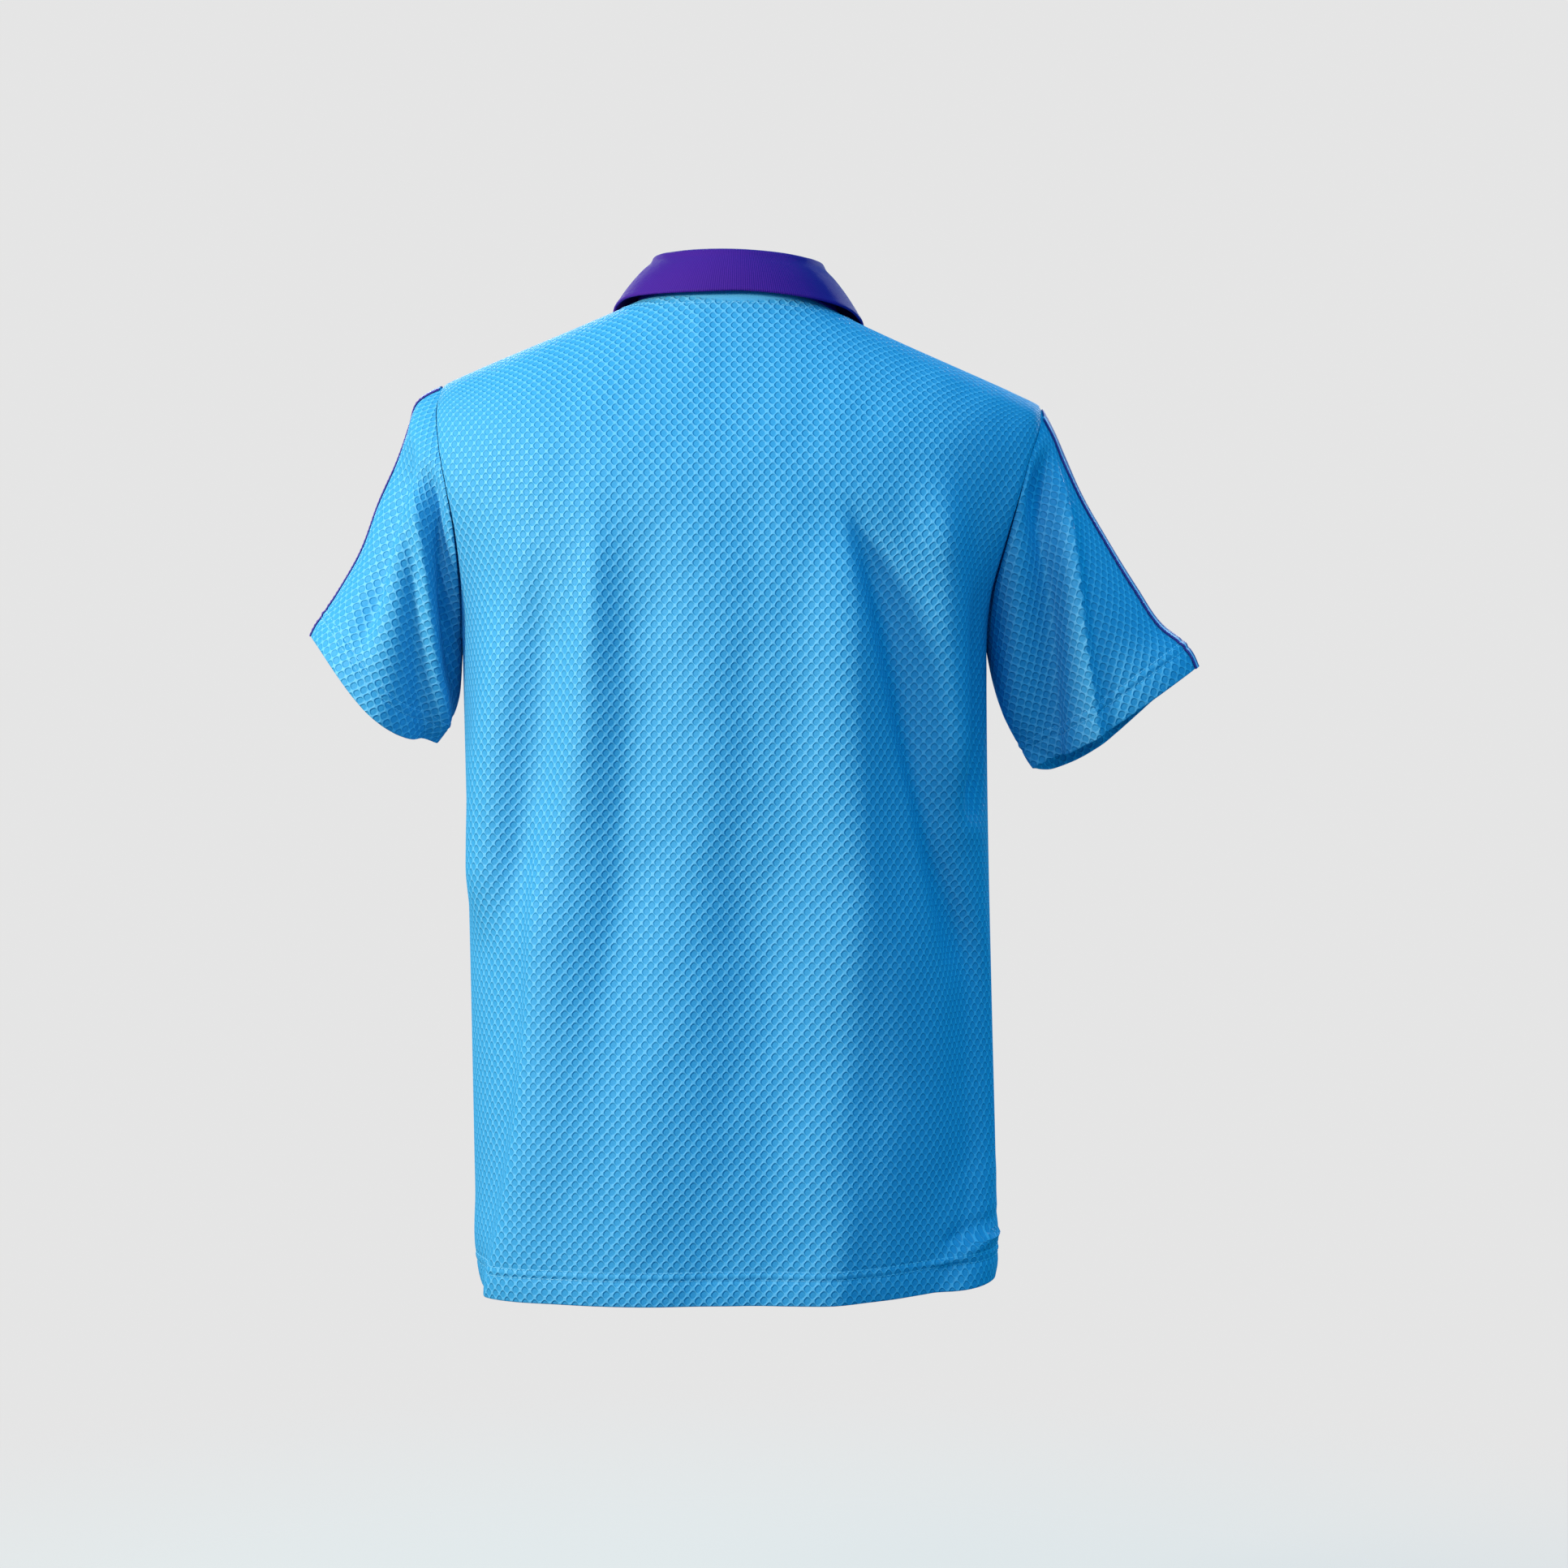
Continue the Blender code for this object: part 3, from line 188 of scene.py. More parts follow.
LEAN_FROM_NECK = 0.25       # height over which the panels' middle line leaves the neck's middle
SETTLE_TIMES = 16
SETTLE_EDGE = 0.065
SETTLE_BELOW = 4

# the folds of a sleeve lie on its back half or its front half, in the same columns
SLEEVE_FOLDS = {
    "left": {
        "back": (
            Fold(0.2375, -0.095, 0.2575, 0.2755, -0.265, 0.010, 0.006, 0.3, 0.04, 0.05, -0.0110),
            Fold(0.2400, -0.130, 0.2520, 0.2640, -0.330, 0.011, 0.011, 0.5, 0.05, 0.03, 0.0030),
            Fold(0.2340, -0.150, 0.2285, 0.2195, -0.400, 0.010, 0.006, 0.3, 0.06, 0.03, -0.0070),
            Fold(0.2345, -0.120, 0.2217, 0.2085, -0.400, 0.006, 0.006, 0.3, 0.04, 0.03, 0.0065),
            Fold(0.2225, -0.112, 0.2045, 0.1930, -0.300, 0.013, 0.008, 0.2, 0.03, 0.04, -0.0160),
        ),
        "front": (
            Fold(0.2390, -0.110, 0.2580, 0.2720, -0.300, 0.010, 0.008, 0.3, 0.05, 0.05, -0.0060),
            Fold(0.2330, -0.130, 0.2350, 0.2380, -0.400, 0.009, 0.009, 0.3, 0.06, 0.03, 0.0045),
            Fold(0.2260, -0.140, 0.2200, 0.2120, -0.330, 0.010, 0.008, 0.2, 0.05, 0.05, -0.0080),
        ),
    },
    "right": {
        "back": (
            Fold(-0.2240, -0.095, -0.2262, -0.2300, -0.400, 0.018, 0.009, 0.1, 0.04, 0.03, -0.0170),
            Fold(-0.2300, -0.098, -0.2515, -0.2815, -0.400, 0.008, 0.004, 0.3, 0.04, 0.03, 0.0080),
            Fold(-0.2060, -0.130, -0.2010, -0.1990, -0.400, 0.010, 0.010, 0.2, 0.06, 0.03, 0.0040),
        ),
        "front": (
            Fold(-0.2330, -0.110, -0.2560, -0.2800, -0.380, 0.010, 0.009, 0.3, 0.05, 0.05, -0.0070),
            Fold(-0.2280, -0.130, -0.2360, -0.2450, -0.400, 0.010, 0.008, 0.3, 0.06, 0.03, 0.0050),
            Fold(-0.2180, -0.140, -0.2160, -0.2150, -0.350, 0.012, 0.010, 0.2, 0.05, 0.05, -0.0090),
        ),
    },
}
SLEEVE_SEAM_CALM = 0.10     # share of a sleeve beside the armhole where its folds die out
SLEEVE_FACING = (0.05, 0.40)    # they die out between these shares of facing straight behind or ahead

# ---------------------------------------------------------------- collar, placket, buttons, tapes
COLLAR_TURN = 171.0
COLLAR_BEND = 0.0030
CollarLine = namedtuple("CollarLine", "turn fold_x fold_y fold_z_left fold_z_right fall clear")
COLLAR_LINES = (
    CollarLine(0, 0.0000, 0.0490, 0.0375, 0.0375, 0.008, 0.0050),
    CollarLine(45, 0.0440, 0.0335, 0.0385, 0.0350, 0.010, 0.0048),
    CollarLine(90, 0.0616, -0.0080, 0.0374, 0.0318, 0.0150, 0.0042),
    CollarLine(125, 0.0540, -0.0420, 0.0180, 0.0130, 0.030, 0.0042),
    CollarLine(150, 0.0340, -0.0590, -0.0130, -0.0170, 0.042, 0.0042),
    CollarLine(171, 0.0150, -0.0660, -0.0370, -0.0385, 0.046, 0.0042),
)
COLLAR_SPREAD = 26.0        # degrees round the neck by which a point's tip lies behind its fold
COLLAR_SPREAD_START = 120   # where that starts, from the middle of the back
COLLAR_BOW = 0.0020         # how far the fall bows out between its fold and its edge
STAND_CLEAR = 0.0004
SLIT_WIDTH = 0.0024
PLACKET_WIDTH = 0.032
PLACKET_ROWS = 16
PLACKET_TOP = 0.15
PLACKET_STITCH = 0.0022     # from its side edges to their stitches
PLACKET_BARS = (0.0024, 0.0200)     # heights of the two rows of stitches across its foot
BUTTON_RADIUS = 0.0056
BUTTON_THICK = 0.0022
BUTTON_COUNT = 3
BUTTON_HOLES = 0.27         # from its middle to its holes, in radii
BUTTON_DISH = 0.0005        # how deep they lie below its rim
BUTTON_THREAD = 0.00042
TAPE_STEPS = (0.009, 0.018, 0.027)
TAPE_START = 2              # ring from which the sleeve's tape starts, clear of the seam
TAPE_STITCH = 0.0014        # from a tape's edge to its stitches
TAPE_THREAD = 0.00024
TAPE_RINGS = {"left": (-2, 1), "right": (-1, 2)}  # columns of the solids' sleeve that its tape lies between

# ---------------------------------------------------------------- control grid, as in the solids
BODY_ROWS = 14
SHOULDER_ROWS = 8
ARMHOLE_SHARES = (0.0, 0.045, 0.09, 0.15, 0.23, 0.32, 0.41, 0.50, 0.58, 0.66, 0.74, 0.82, 0.90, 1.0)
MIDDLE_COLUMNS = 11
TIP_LINE = BODY_ROWS + len(ARMHOLE_SHARES) - 1              # row at the shoulder tips
SLIT_COLUMN = len(TAPE_STEPS) + MIDDLE_COLUMNS + 1          # column at the slit's right side
COLLAR_STATIONS = 38
DENSE = 241

# ---------------------------------------------------------------- fineness of the shells
CELL = 0.0034               # usual size of a shell's cell
COLLAR_CELLS = (0.0024, 0.0016)     # the collar's, round the neck and over the fold
EDGE_CELL = 0.0014          # cell size beside a seam, where the cloth dips
SECOND_CELL = EDGE_CELL * 1.8
HEM_CELL = 0.0013           # cell height inside a hem
SLEEVE_CELL = CELL * 0.85
SLEEVE_REACH = 0.20         # rough length of a sleeve, for the count of its rings
CUFF_STRIP = 0.030          # strips of finer rings beside its cuff
CAP_STRIP = 0.012           # and beside its armhole seam
EDGE_BLEND = 0.030          # strip over which a shell is fitted to the exact seam line
SHARP_TURN = 50             # degrees from which an edge of a shell is shaded sharp
ROUND_STEPS = (90, 62, 32, 0)   # degrees round a folded or knitted edge
LEAST_STEP = 0.04           # least step, in control points, from the collar's rounded edge to the next cell
MAP_PASSES = 400            # passes that even out a sleeve's map
FACING_UP = (0.25, 0.75)    # shares of facing up between which the knit turns to run over the shoulder

# ---------------------------------------------------------------- hems and seams
HEM_WIDTH = 0.0245          # from the hem's edge to its upper row of stitches
NEEDLE_GAP = 0.0060         # between the two rows of a twin-needle seam
CUFF_WIDTH = 0.0225
HEM_CLOTH = 0.0021          # thickness inside a hem, where the cloth is doubled
HEM_STEP = 0.0012           # height over which the doubled cloth's edge ends
GROOVE = 0.00045            # how far a row of stitches pulls the cloth in
GROOVE_WIDTH = 0.0013
HEM_PUFF = 0.00055          # how far the cloth stands out below the stitches
NEEDLE_PUFF = 0.00040       # between them
PUCKER_BELOW = 0.5          # shares by which both vary as the cloth puckers
PUCKER_BETWEEN = 0.6
PUCKER_ABOVE = 0.00035      # how far it stands out above them where it puckers
PUCKER_FADE = 0.010
PUCKERS = ((1.0, 0.0113), (0.8, 0.0171), (0.7, 0.0297))     # share and length of each wave of the puckers
RIPPLE = {"panel": 0.00045, "sleeve": 0.00035}              # height of the cloth's slight unevenness
RIPPLE_WAVES = 9
RIPPLE_LENGTHS = (0.030, 0.085)
RIPPLE_STRETCH = 3.2        # how much longer they are down the cloth than across it
RIPPLE_CAP = 0.2            # share of a sleeve beside its armhole where they die out
RIPPLE_SEEDS = {"back": 11, "front": 12, "left": 31, "right": 32}
HEM_SEEDS = {"back": 21, "front": 22, "left": 41, "right": 42}
CREASE_RISE = 0.12          # rise of the next piece over a seam from which the seam counts as a crease
SEAM_DIP = 0.0011           # how far the cloth dips at a seam
SEAM_DIP_WIDTH = 0.0030
DIP_END = 0.02              # share of a panel's rows beside the neck where its seams' dip dies out
HEM_SIDE_CALM = 0.004       # strip beside a side seam where the hem's form dies out
COLLAR_RIM = 0.00030        # how far the collar's edge stands out
COLLAR_RIM_PLACE = 0.0020
COLLAR_RIM_WIDTH = 0.0016
STITCH_LONG = 0.0027
STITCH_GAP = 0.0009
STITCH_RADIUS = 0.00030
STITCH_SIDES = 6
STITCH_FORM = (0.45, 0.95, 1.0, 0.95, 0.45)     # thickness along a stitch, in radii
STITCH_RISE = 1.2           # how far its middle rises, in radii
STITCH_SUNK = 0.55          # and how deep its ends lie
NECK_STITCH = 0.0138        # from the neck seam to the topstitching behind


# ---------------------------------------------------------------- small helpers
def smooth(share):
    share = np.clip(share, 0.0, 1.0)
    return share * share * (3.0 - 2.0 * share)


def spline(keys, values, at):
    """Cubic curve through values at rising keys, read at the given places."""
    keys = np.asarray(keys, float)
    values = np.asarray(values, float)
    at = np.clip(np.asarray(at, float), keys[0], keys[-1])
    slopes = np.gradient(values, keys, axis=0)
    index = np.clip(np.searchsorted(keys, at, side="right") - 1, 0, len(keys) - 2)
    step = keys[index + 1] - keys[index]
    t = (at - keys[index]) / step
    if values.ndim > 1:
        t = t[..., None]
        step = step[..., None]
    low, high = values[index], values[index + 1]
    slope_low, slope_high = slopes[index] * step, slopes[index + 1] * step
    t2, t3 = t * t, t * t * t
    return ((2 * t3 - 3 * t2 + 1) * low + (t3 - 2 * t2 + t) * slope_low
            + (3 * t2 - 2 * t3) * high + (t3 - t2) * slope_high)


def column(table, name):
    """One value of each row of a table."""
    return [getattr(row, name) for row in table]


def unit(vectors):
    length = np.linalg.norm(vectors, axis=-1, keepdims=True)
    return vectors / np.maximum(length, 1e-12)


def running(steps, axis=0):
    """Running sums of steps along an axis, from 0."""
    shape = list(steps.shape)
    shape[axis] = 1
    return np.concatenate([np.zeros(shape), np.cumsum(steps, axis=axis)], axis=axis)


def run_of(points):
    """Distance of each point of a polyline from its start."""
    return running(np.linalg.norm(np.diff(points, axis=0), axis=1))


def walk(grid, axis):
    """Distance of each point of a grid from its first row or column, along the grid."""
    return running(np.linalg.norm(np.diff(grid, axis=axis), axis=2), axis)


def read_at(keys, line, wanted):
    """A polyline's points, read where rising keys of its points reach the wanted values."""
    return np.stack([np.interp(wanted, keys, line[:, k]) for k in range(line.shape[1])], axis=-1)


def spaced(points, places):
    """Points at distances along a polyline, where negative ones count from its end."""
    run = run_of(points)
    return read_at(run, points, np.where(np.asarray(places) < 0, run[-1] + np.asarray(places), places))


def nearest(places, wanted):
    return int(np.argmin(np.abs(places - wanted)))


def new_object(name, data):
    obj = bpy.data.objects.new(name, data)
    bpy.context.scene.collection.objects.link(obj)
    return obj


def refine(line, at):
    """Cubic curve through a control line's points, read at places given in points."""
    run = run_of(line)
    return spline(run, line, np.interp(at, np.arange(len(line)), run))


def refine_grid(grid, at_cols, at_rows):
    wide = np.stack([refine(line, at_cols) for line in grid])
    return np.stack([refine(wide[:, k], at_rows) for k in range(wide.shape[1])], axis=1)


def fine_places(spans, cells):
    """Places along a control line, in points, that part each span into even cells."""
    parts = []
    for k, (span, cell) in enumerate(zip(spans, cells)):
        count = max(1, int(round(span / cell)))
        parts.append(k + np.arange(count) / count)
    return np.concatenate(parts + [[float(len(spans))]])


def mean_spans(grid, axis):
    """Mean distance between each two neighbouring rows (axis 0) or columns (axis 1) of a grid."""
    return np.linalg.norm(np.diff(grid, axis=axis), axis=2).mean(axis=1 - axis)


def edge_places(span, radius):
    """Places within the first span, as shares of it, that round an edge of the given radius."""
    return [radius * (1 - math.sin(math.radians(turn))) / span for turn in ROUND_STEPS[1:]]


# ---------------------------------------------------------------- control grids, as in the solids
def armhole_half(side, half):
    """Dense armhole line from the shoulder tip to the underarm, behind or ahead."""
    rows = ARMHOLES[side]
    turns = [rows[-1].turn - 360, *column(rows, "turn"), *(row.turn + 360 for row in rows[:2])]
    places = [(row.x, row.y, row.z) for row in rows[-1:] + rows + rows[:2]]
    return spline(turns, places, np.linspace(0 if half == "back" else 360, 180, DENSE))


def armhole_points(side, half, shares):
    """Points of that line at shares of its length."""
    line = armhole_half(side, half)
    return spaced(line, np.asarray(shares) * run_of(line)[-1])


def cuff_points(side, half, shares):
    """Points of a cuff's back or front half, from its outer end to its inner one."""
    cuff = CUFFS[side]
    outer = np.array([cuff.outer[0], cuff.middle_y, cuff.outer[1]])
    inner = np.array([cuff.inner[0], cuff.middle_y, cuff.inner[1]])
    middle, arm = (outer + inner) / 2, (outer - inner) / 2
    down = unit(np.array([arm[2], 0.0, -arm[0]]) * SIDEWAYS[side])
    drop = getattr(cuff, half + "_drop")
    angle = math.pi * np.linspace(0, 1, DENSE)[:, None]
    dense = (middle + arm * np.cos(angle) + np.array([0, OUTWARD[half] * cuff.half_depth, 0]) * np.sin(angle)
             + down * drop * np.sin(math.pi * (angle / math.pi) ** DROP_LATER) ** 2)
    return spaced(dense, np.asarray(shares) * run_of(dense)[-1])


def sleeve_surface(side, shares, along):
    """Rings of a sleeve: [ring, place round it, xyz], from the top down the back and up the front."""
    inner_shares = shares[1:-1][::-1]
    seam = np.concatenate([armhole_points(side, "back", shares), armhole_points(side, "front", inner_shares)])
    cuff = np.concatenate([cuff_points(side, "back", shares), cuff_points(side, "front", inner_shares)])
    turn = np.concatenate([180 * np.asarray(shares), 360 - 180 * np.asarray(inner_shares)])
    along = np.asarray(along, float)[:, None, None]
    rings = seam * (1 - along) + cuff * along
    chord = cuff[0] - seam[0]
    outward = unit(np.array([-chord[2], 0.0, chord[0]]) * SIDEWAYS[side])
    rise = spline(column(SLEEVE_TOP, "along"), column(SLEEVE_TOP, side), along[..., 0])
    near_top = np.cos(np.radians(turn) / 2) ** TOP_NARROW
    rings = rings + (rise * near_top)[..., None] * outward
    near_low = np.sin(np.radians(turn) / 2) ** SAG_NARROW
    sag = UNDERARM_SAG[side]
    sag = sag.depth * np.sin(math.pi * np.clip(along[..., 0], 0, 1) ** sag.later) * near_low
    rings[..., 0] -= sag * SIDEWAYS[side]
    return rings


def sleeve_push(side, rings, along):
    """How far a sleeve's folds move its rings out: those behind on its back, those ahead on its front."""
    normals = ring_normals(rings)
    low, high = SLEEVE_FACING
    push = np.zeros(rings.shape[:2])
    for half, outward in OUTWARD.items():
        facing = smooth((outward * normals[..., 1] - low) / (high - low))
        push += fold_push(rings, SLEEVE_FOLDS[side][half]) * facing
    return push * smooth(np.asarray(along) / SLEEVE_SEAM_CALM)[:, None]


def ring_normals(rings):
    """Normals of a sleeve's rings, facing out of it."""
    around = np.roll(rings, -1, axis=1) - np.roll(rings, 1, axis=1)
    along = np.gradient(rings, axis=0)
    normals = unit(np.cross(along, around))
    centres = rings.mean(axis=1, keepdims=True)
    return -normals if np.sum((rings - centres) * normals) < 0 else normals


def panel_edge(side, half, rows):
    """Where the rows of a panel end on one side: side seam, armhole, then shoulder seam."""
    tip = armhole_half(side, half)[0]
    neck = np.array(NECK_SIDE[side])
    ends = np.zeros((len(rows), 3))
    for k, row in enumerate(rows):
        if row <= UNDERARM_ROW:
            z = HEM_Z[side] + (UNDERARM_Z - HEM_Z[side]) * row / UNDERARM_ROW
            ends[k] = (float(spline(column(SIDES, "height"), column(SIDES, side), z)), SEAM_Y, z)
        elif row < TIP_ROW:
            share = (TIP_ROW - row) / (TIP_ROW - UNDERARM_ROW)
            ends[k] = armhole_points(side, half, [share])[0]
        else:
            ends[k] = tip + (neck - tip) * (row - TIP_ROW) / (1 - TIP_ROW)
    return ends


def panel_middle(half, rows):
    """Where the rows of a panel cross its middle."""
    z = np.interp(rows, [0, UNDERARM_ROW, TIP_ROW, 1], [HEM_Z[half], UNDERARM_Z, TIP_Z[half], NECK_Z[half]])
    y = spline(column(DEPTHS, "height"), column(DEPTHS, half), z)
    left, right = (spline(column(SIDES, "height"), column(SIDES, side), np.minimum(z, UNDERARM_Z))
                   for side in SIDEWAYS)
    lean = (left + right) / 2 * smooth((NECK_Z["back"] - z) / LEAN_FROM_NECK)
    return np.stack([lean, y, z], axis=1)


def half_row(middle, end):
    """Dense line of half a row: the part of a squared ellipse from the middle of the panel to its end."""
    reach = float(np.clip((end[1] - SEAM_Y) / (middle[1] - SEAM_Y), 0.0, 1.0))
    last = math.acos(reach ** (1 / SQUARENESS))
    angle = last * np.linspace(0, 1, DENSE)
    across = (np.sin(angle) / math.sin(last)) ** SQUARENESS
    depth = (np.maximum(np.cos(angle), 0.0) ** SQUARENESS - reach) / (1 - reach)
    x = middle[0] + (end[0] - middle[0]) * across
    y = end[1] + (middle[1] - end[1]) * depth
    z = middle[2] + (end[2] - middle[2]) * across ** (2 if end[2] > UNDERARM_Z else 3)
    return np.stack([x, y, z], axis=1)


def panel_rows():
    """Shares of a panel's rows, from the hem at 0 to the neck at 1."""
    body = np.linspace(0, UNDERARM_ROW, BODY_ROWS + 1)
    arm = TIP_ROW - (TIP_ROW - UNDERARM_ROW) * np.array(ARMHOLE_SHARES)[::-1]
    shoulder = np.linspace(TIP_ROW, 1, SHOULDER_ROWS + 1)
    return np.concatenate([body, arm[1:], shoulder[1:]])


def settle(grid, free):
    """Round a panel's rows into each other above the chest, with its seams and neck held."""
    grid = grid.copy()
    first, last = BODY_ROWS - SETTLE_BELOW, len(grid) - 1
    share = smooth((np.arange(first, last) - first + 1) / SETTLE_BELOW)[:, None, None]
    for _ in range(SETTLE_TIMES):
        between = (grid[first - 1:last - 1] + grid[first + 1:last + 1]) / 2
        grid[first:last] += 0.5 * share * free[first:last, :, None] * (between - grid[first:last])
    return grid


def panel_control(half, rows):
    """The solids' own grid of a panel, before its folds: [row, column, xyz] from right to left."""
    middles = panel_middle(half, rows)
    halves = {side: panel_edge(side, half, rows) for side in SIDEWAYS}
    grid, free = [], []
    for k in range(len(rows)):
        parts, frees = [], []
        for side in ("right", "left"):
            line = half_row(middles[k], halves[side][k])
            whole = run_of(line)[-1]
            inner = [SLIT_WIDTH / 2, PLACKET_WIDTH / 2]
            outer = [whole - step for step in TAPE_STEPS[::-1]] + [whole - SEAM / 2]
            between = np.linspace(inner[-1], outer[0], MIDDLE_COLUMNS + 1)[1:-1]
            places = np.concatenate([inner, between, outer])
            points = spaced(line, places)
            loose = np.clip((whole - places) / SETTLE_EDGE, 0, 1)
            parts.append(points[::-1] if side == "right" else points)
            frees.append(loose[::-1] if side == "right" else loose)
        grid.append(np.concatenate(parts))
        free.append(np.concatenate(frees))
    return settle(np.array(grid), smooth(np.array(free)))


def grid_normals(grid, outward):
    """Normals of a panel, facing out of the shirt."""
    across = np.gradient(grid, axis=1)
    up = np.gradient(grid, axis=0)
    normals = unit(np.cross(across, up))
    middle = normals[len(grid) // 3, grid.shape[1] // 2]
    return normals if middle[1] * outward > 0 else -normals


# ---------------------------------------------------------------- fine surfaces
def bend(first, middle, last, share):
    """A curve through three places, read at a share of its length."""
    return (first * (1 - share) * (1 - 2 * share) + middle * 4 * share * (1 - share)
            + last * share * (2 * share - 1))


def fold_push(points, folds):
    """How far folds move points out."""
    x, z = points[..., 0], points[..., 2]
    push = np.zeros(x.shape)
    for fold in folds:
        share = np.clip((fold.z_top - z) / (fold.z_top - fold.z_low), -FOLD_BEYOND, 1 + FOLD_BEYOND)
        centre = bend(fold.x_top, fold.x_mid, fold.x_low, share)
        wide = np.where(x > centre, fold.left, fold.right) * (1 + fold.grow * (share - 0.5))
        height = fold.out * smooth((fold.z_top - z) / fold.rise)
        if fold.z_low > TO_THE_HEM:
            height = height * smooth((z - fold.z_low) / fold.fall)
        push += height * np.exp(-((x - centre) / wide) ** 2)
    return push


def calm_of(to_edge, shares, normals):
    """Share of a fold's height that is left beside seams, on the shoulders and on the body's sides."""
    low, high = FACING_CALM
    return (smooth(to_edge / EDGE_CALM) * smooth((1 - shares) / (1 - TIP_ROW))[:, None]
            * smooth((np.abs(normals[..., 1]) - low) / (high - low)))


def panel_folds(grid, half, shares):
    """Heights of a panel's folds, with their calm, the distance from its sides and its normals."""
    normals = grid_normals(grid, OUTWARD[half])
    across = walk(grid, 1)
    to_edge = np.minimum(across, across[:, -1:] - across)
    calm = calm_of(to_edge, shares, normals)
    return fold_push(grid, BACK_FOLDS if half == "back" else FRONT_FOLDS) * calm, calm, to_edge, normals


def ripple(across, up, seed):
    """Slight unevenness of hanging cloth, the same on each run."""
    draw = np.random.default_rng(seed)
    total = np.zeros(across.shape)
    for _ in range(RIPPLE_WAVES):
        turn = draw.uniform(-0.5, 0.5)
        length = draw.uniform(*RIPPLE_LENGTHS)
        phase = draw.uniform(0, math.tau, 2)
        along = across * math.cos(turn) + up * math.sin(turn)
        other = up * math.cos(turn) - across * math.sin(turn)
        total += (np.sin(along * math.tau / length + phase[0])
                  * np.sin(other * math.tau / length / RIPPLE_STRETCH + phase[1]))
    return total / math.sqrt(RIPPLE_WAVES)


def hem_shape(up, along, width, seed):
    """Height of a twin-needle hem over the plain cloth: puffed below, pulled in at both stitch rows."""
    draw = np.random.default_rng(seed)
    phases = draw.uniform(0, math.tau, len(PUCKERS))
    pucker = sum(share * np.sin(along * math.tau / length + phase)
                 for (share, length), phase in zip(PUCKERS, phases)) / sum(share for share, _ in PUCKERS)
    low = width - NEEDLE_GAP
    body = HEM_PUFF * np.sin(math.pi * np.clip(up / low, 0, 1)) * (1 + PUCKER_BELOW * pucker)
    between = (NEEDLE_PUFF * np.sin(math.pi * np.clip((up - low) / NEEDLE_GAP, 0, 1))
               * (1 + PUCKER_BETWEEN * pucker))
    above = (PUCKER_ABOVE * pucker * np.exp(-np.maximum(up - width, 0) / PUCKER_FADE)
             * smooth((up - width) / (PUCKER_FADE * 0.3)))
    rows = sum(np.exp(-((up - place) / GROOVE_WIDTH) ** 2) for place in (width, low))
    return body + between + above - GROOVE * rows


def edge_drop(up, radius):
    """How far the surface turns in beside a rounded edge."""
    inside = np.clip(1 - up / radius, 0, 1)
    return radius * (1 - np.sqrt(1 - inside ** 2))


def hem_thickness(up, width):
    return CLOTH + (HEM_CLOTH - CLOTH) * smooth((width + HEM_STEP - up) / HEM_STEP)


def fine_panels():
    """Fine grids of both panels, with the same rows and columns, and their rows' shares."""
    rows = panel_rows()
    control = {half: panel_control(half, rows) for half in OUTWARD}
    spans = mean_spans(control["back"], 1)
    cells = np.full(len(spans), CELL)
    cells[[0, -1]] = EDGE_CELL
    cells[[1, -2]] = SECOND_CELL
    at_cols = fine_places(spans, cells)
    spans = mean_spans(control["back"], 0)
    cells = np.full(len(spans), CELL)
    cells[0] = HEM_CELL
    at_rows = fine_places(spans, cells)
    at_rows = np.concatenate([[0.0], edge_places(spans[0], HEM_CLOTH / 2), at_rows[2:]])
    share = np.interp(at_rows, np.arange(len(rows)), rows)
    grids = {}
    for half in OUTWARD:
        tall = refine_grid(control[half], at_cols, at_rows)
        for side, col, inward in SIDE_COLUMNS:
            ends = panel_edge(side, half, share)
            wanted = ends + unit(tall[:, inward] - tall[:, col]) * SEAM / 2
            shift = wanted - tall[:, col]
            run = walk(tall, 1)
            run = run if side == "right" else run[:, -1:] - run
            tall = tall + shift[:, None] * (1 - smooth(run / EDGE_BLEND))[..., None]
        grids[half] = tall
    return grids, at_rows, at_cols, share


def dress_panel(grid, half, share):
    """A fine panel with its folds, hem and seam dips: its grid, normals, heights, thickness and edge drop."""
    push, calm, to_edge, normals = panel_folds(grid, half, share)
    across, up = walk(grid, 1), walk(grid, 0)
    push += RIPPLE["panel"] * ripple(grid[..., 0], grid[..., 2], RIPPLE_SEEDS[half]) * calm
    if half == "back":
        push += fold_push(grid, BACK_CREASES) * smooth(to_edge / CREASE_CALM)
    grid = grid + push[..., None] * normals
    normals = grid_normals(grid, OUTWARD[half])
    from_middle = across - across[:, grid.shape[1] // 2, None]
    shape = hem_shape(up, from_middle, HEM_WIDTH, HEM_SEEDS[half]) * smooth(to_edge / HEM_SIDE_CALM)
    shape -= SEAM_DIP * np.exp(-(to_edge / SEAM_DIP_WIDTH) ** 2) * smooth((1 - share) / DIP_END)[:, None]
    grid = grid + shape[..., None] * normals
    normals = grid_normals(grid, OUTWARD[half])
    return grid, normals, up, hem_thickness(up, HEM_WIDTH), edge_drop(up, HEM_CLOTH / 2)


def sleeve_shares(at_rows, share):
    """The fine rows between which the armhole lies, and their shares of its half."""
    first = nearest(at_rows, BODY_ROWS)
    last = nearest(at_rows, TIP_LINE)
    shares = (TIP_ROW - share[first:last + 1][::-1]) / (TIP_ROW - UNDERARM_ROW)
    return first, last, np.clip(shares, 0.0, 1.0)


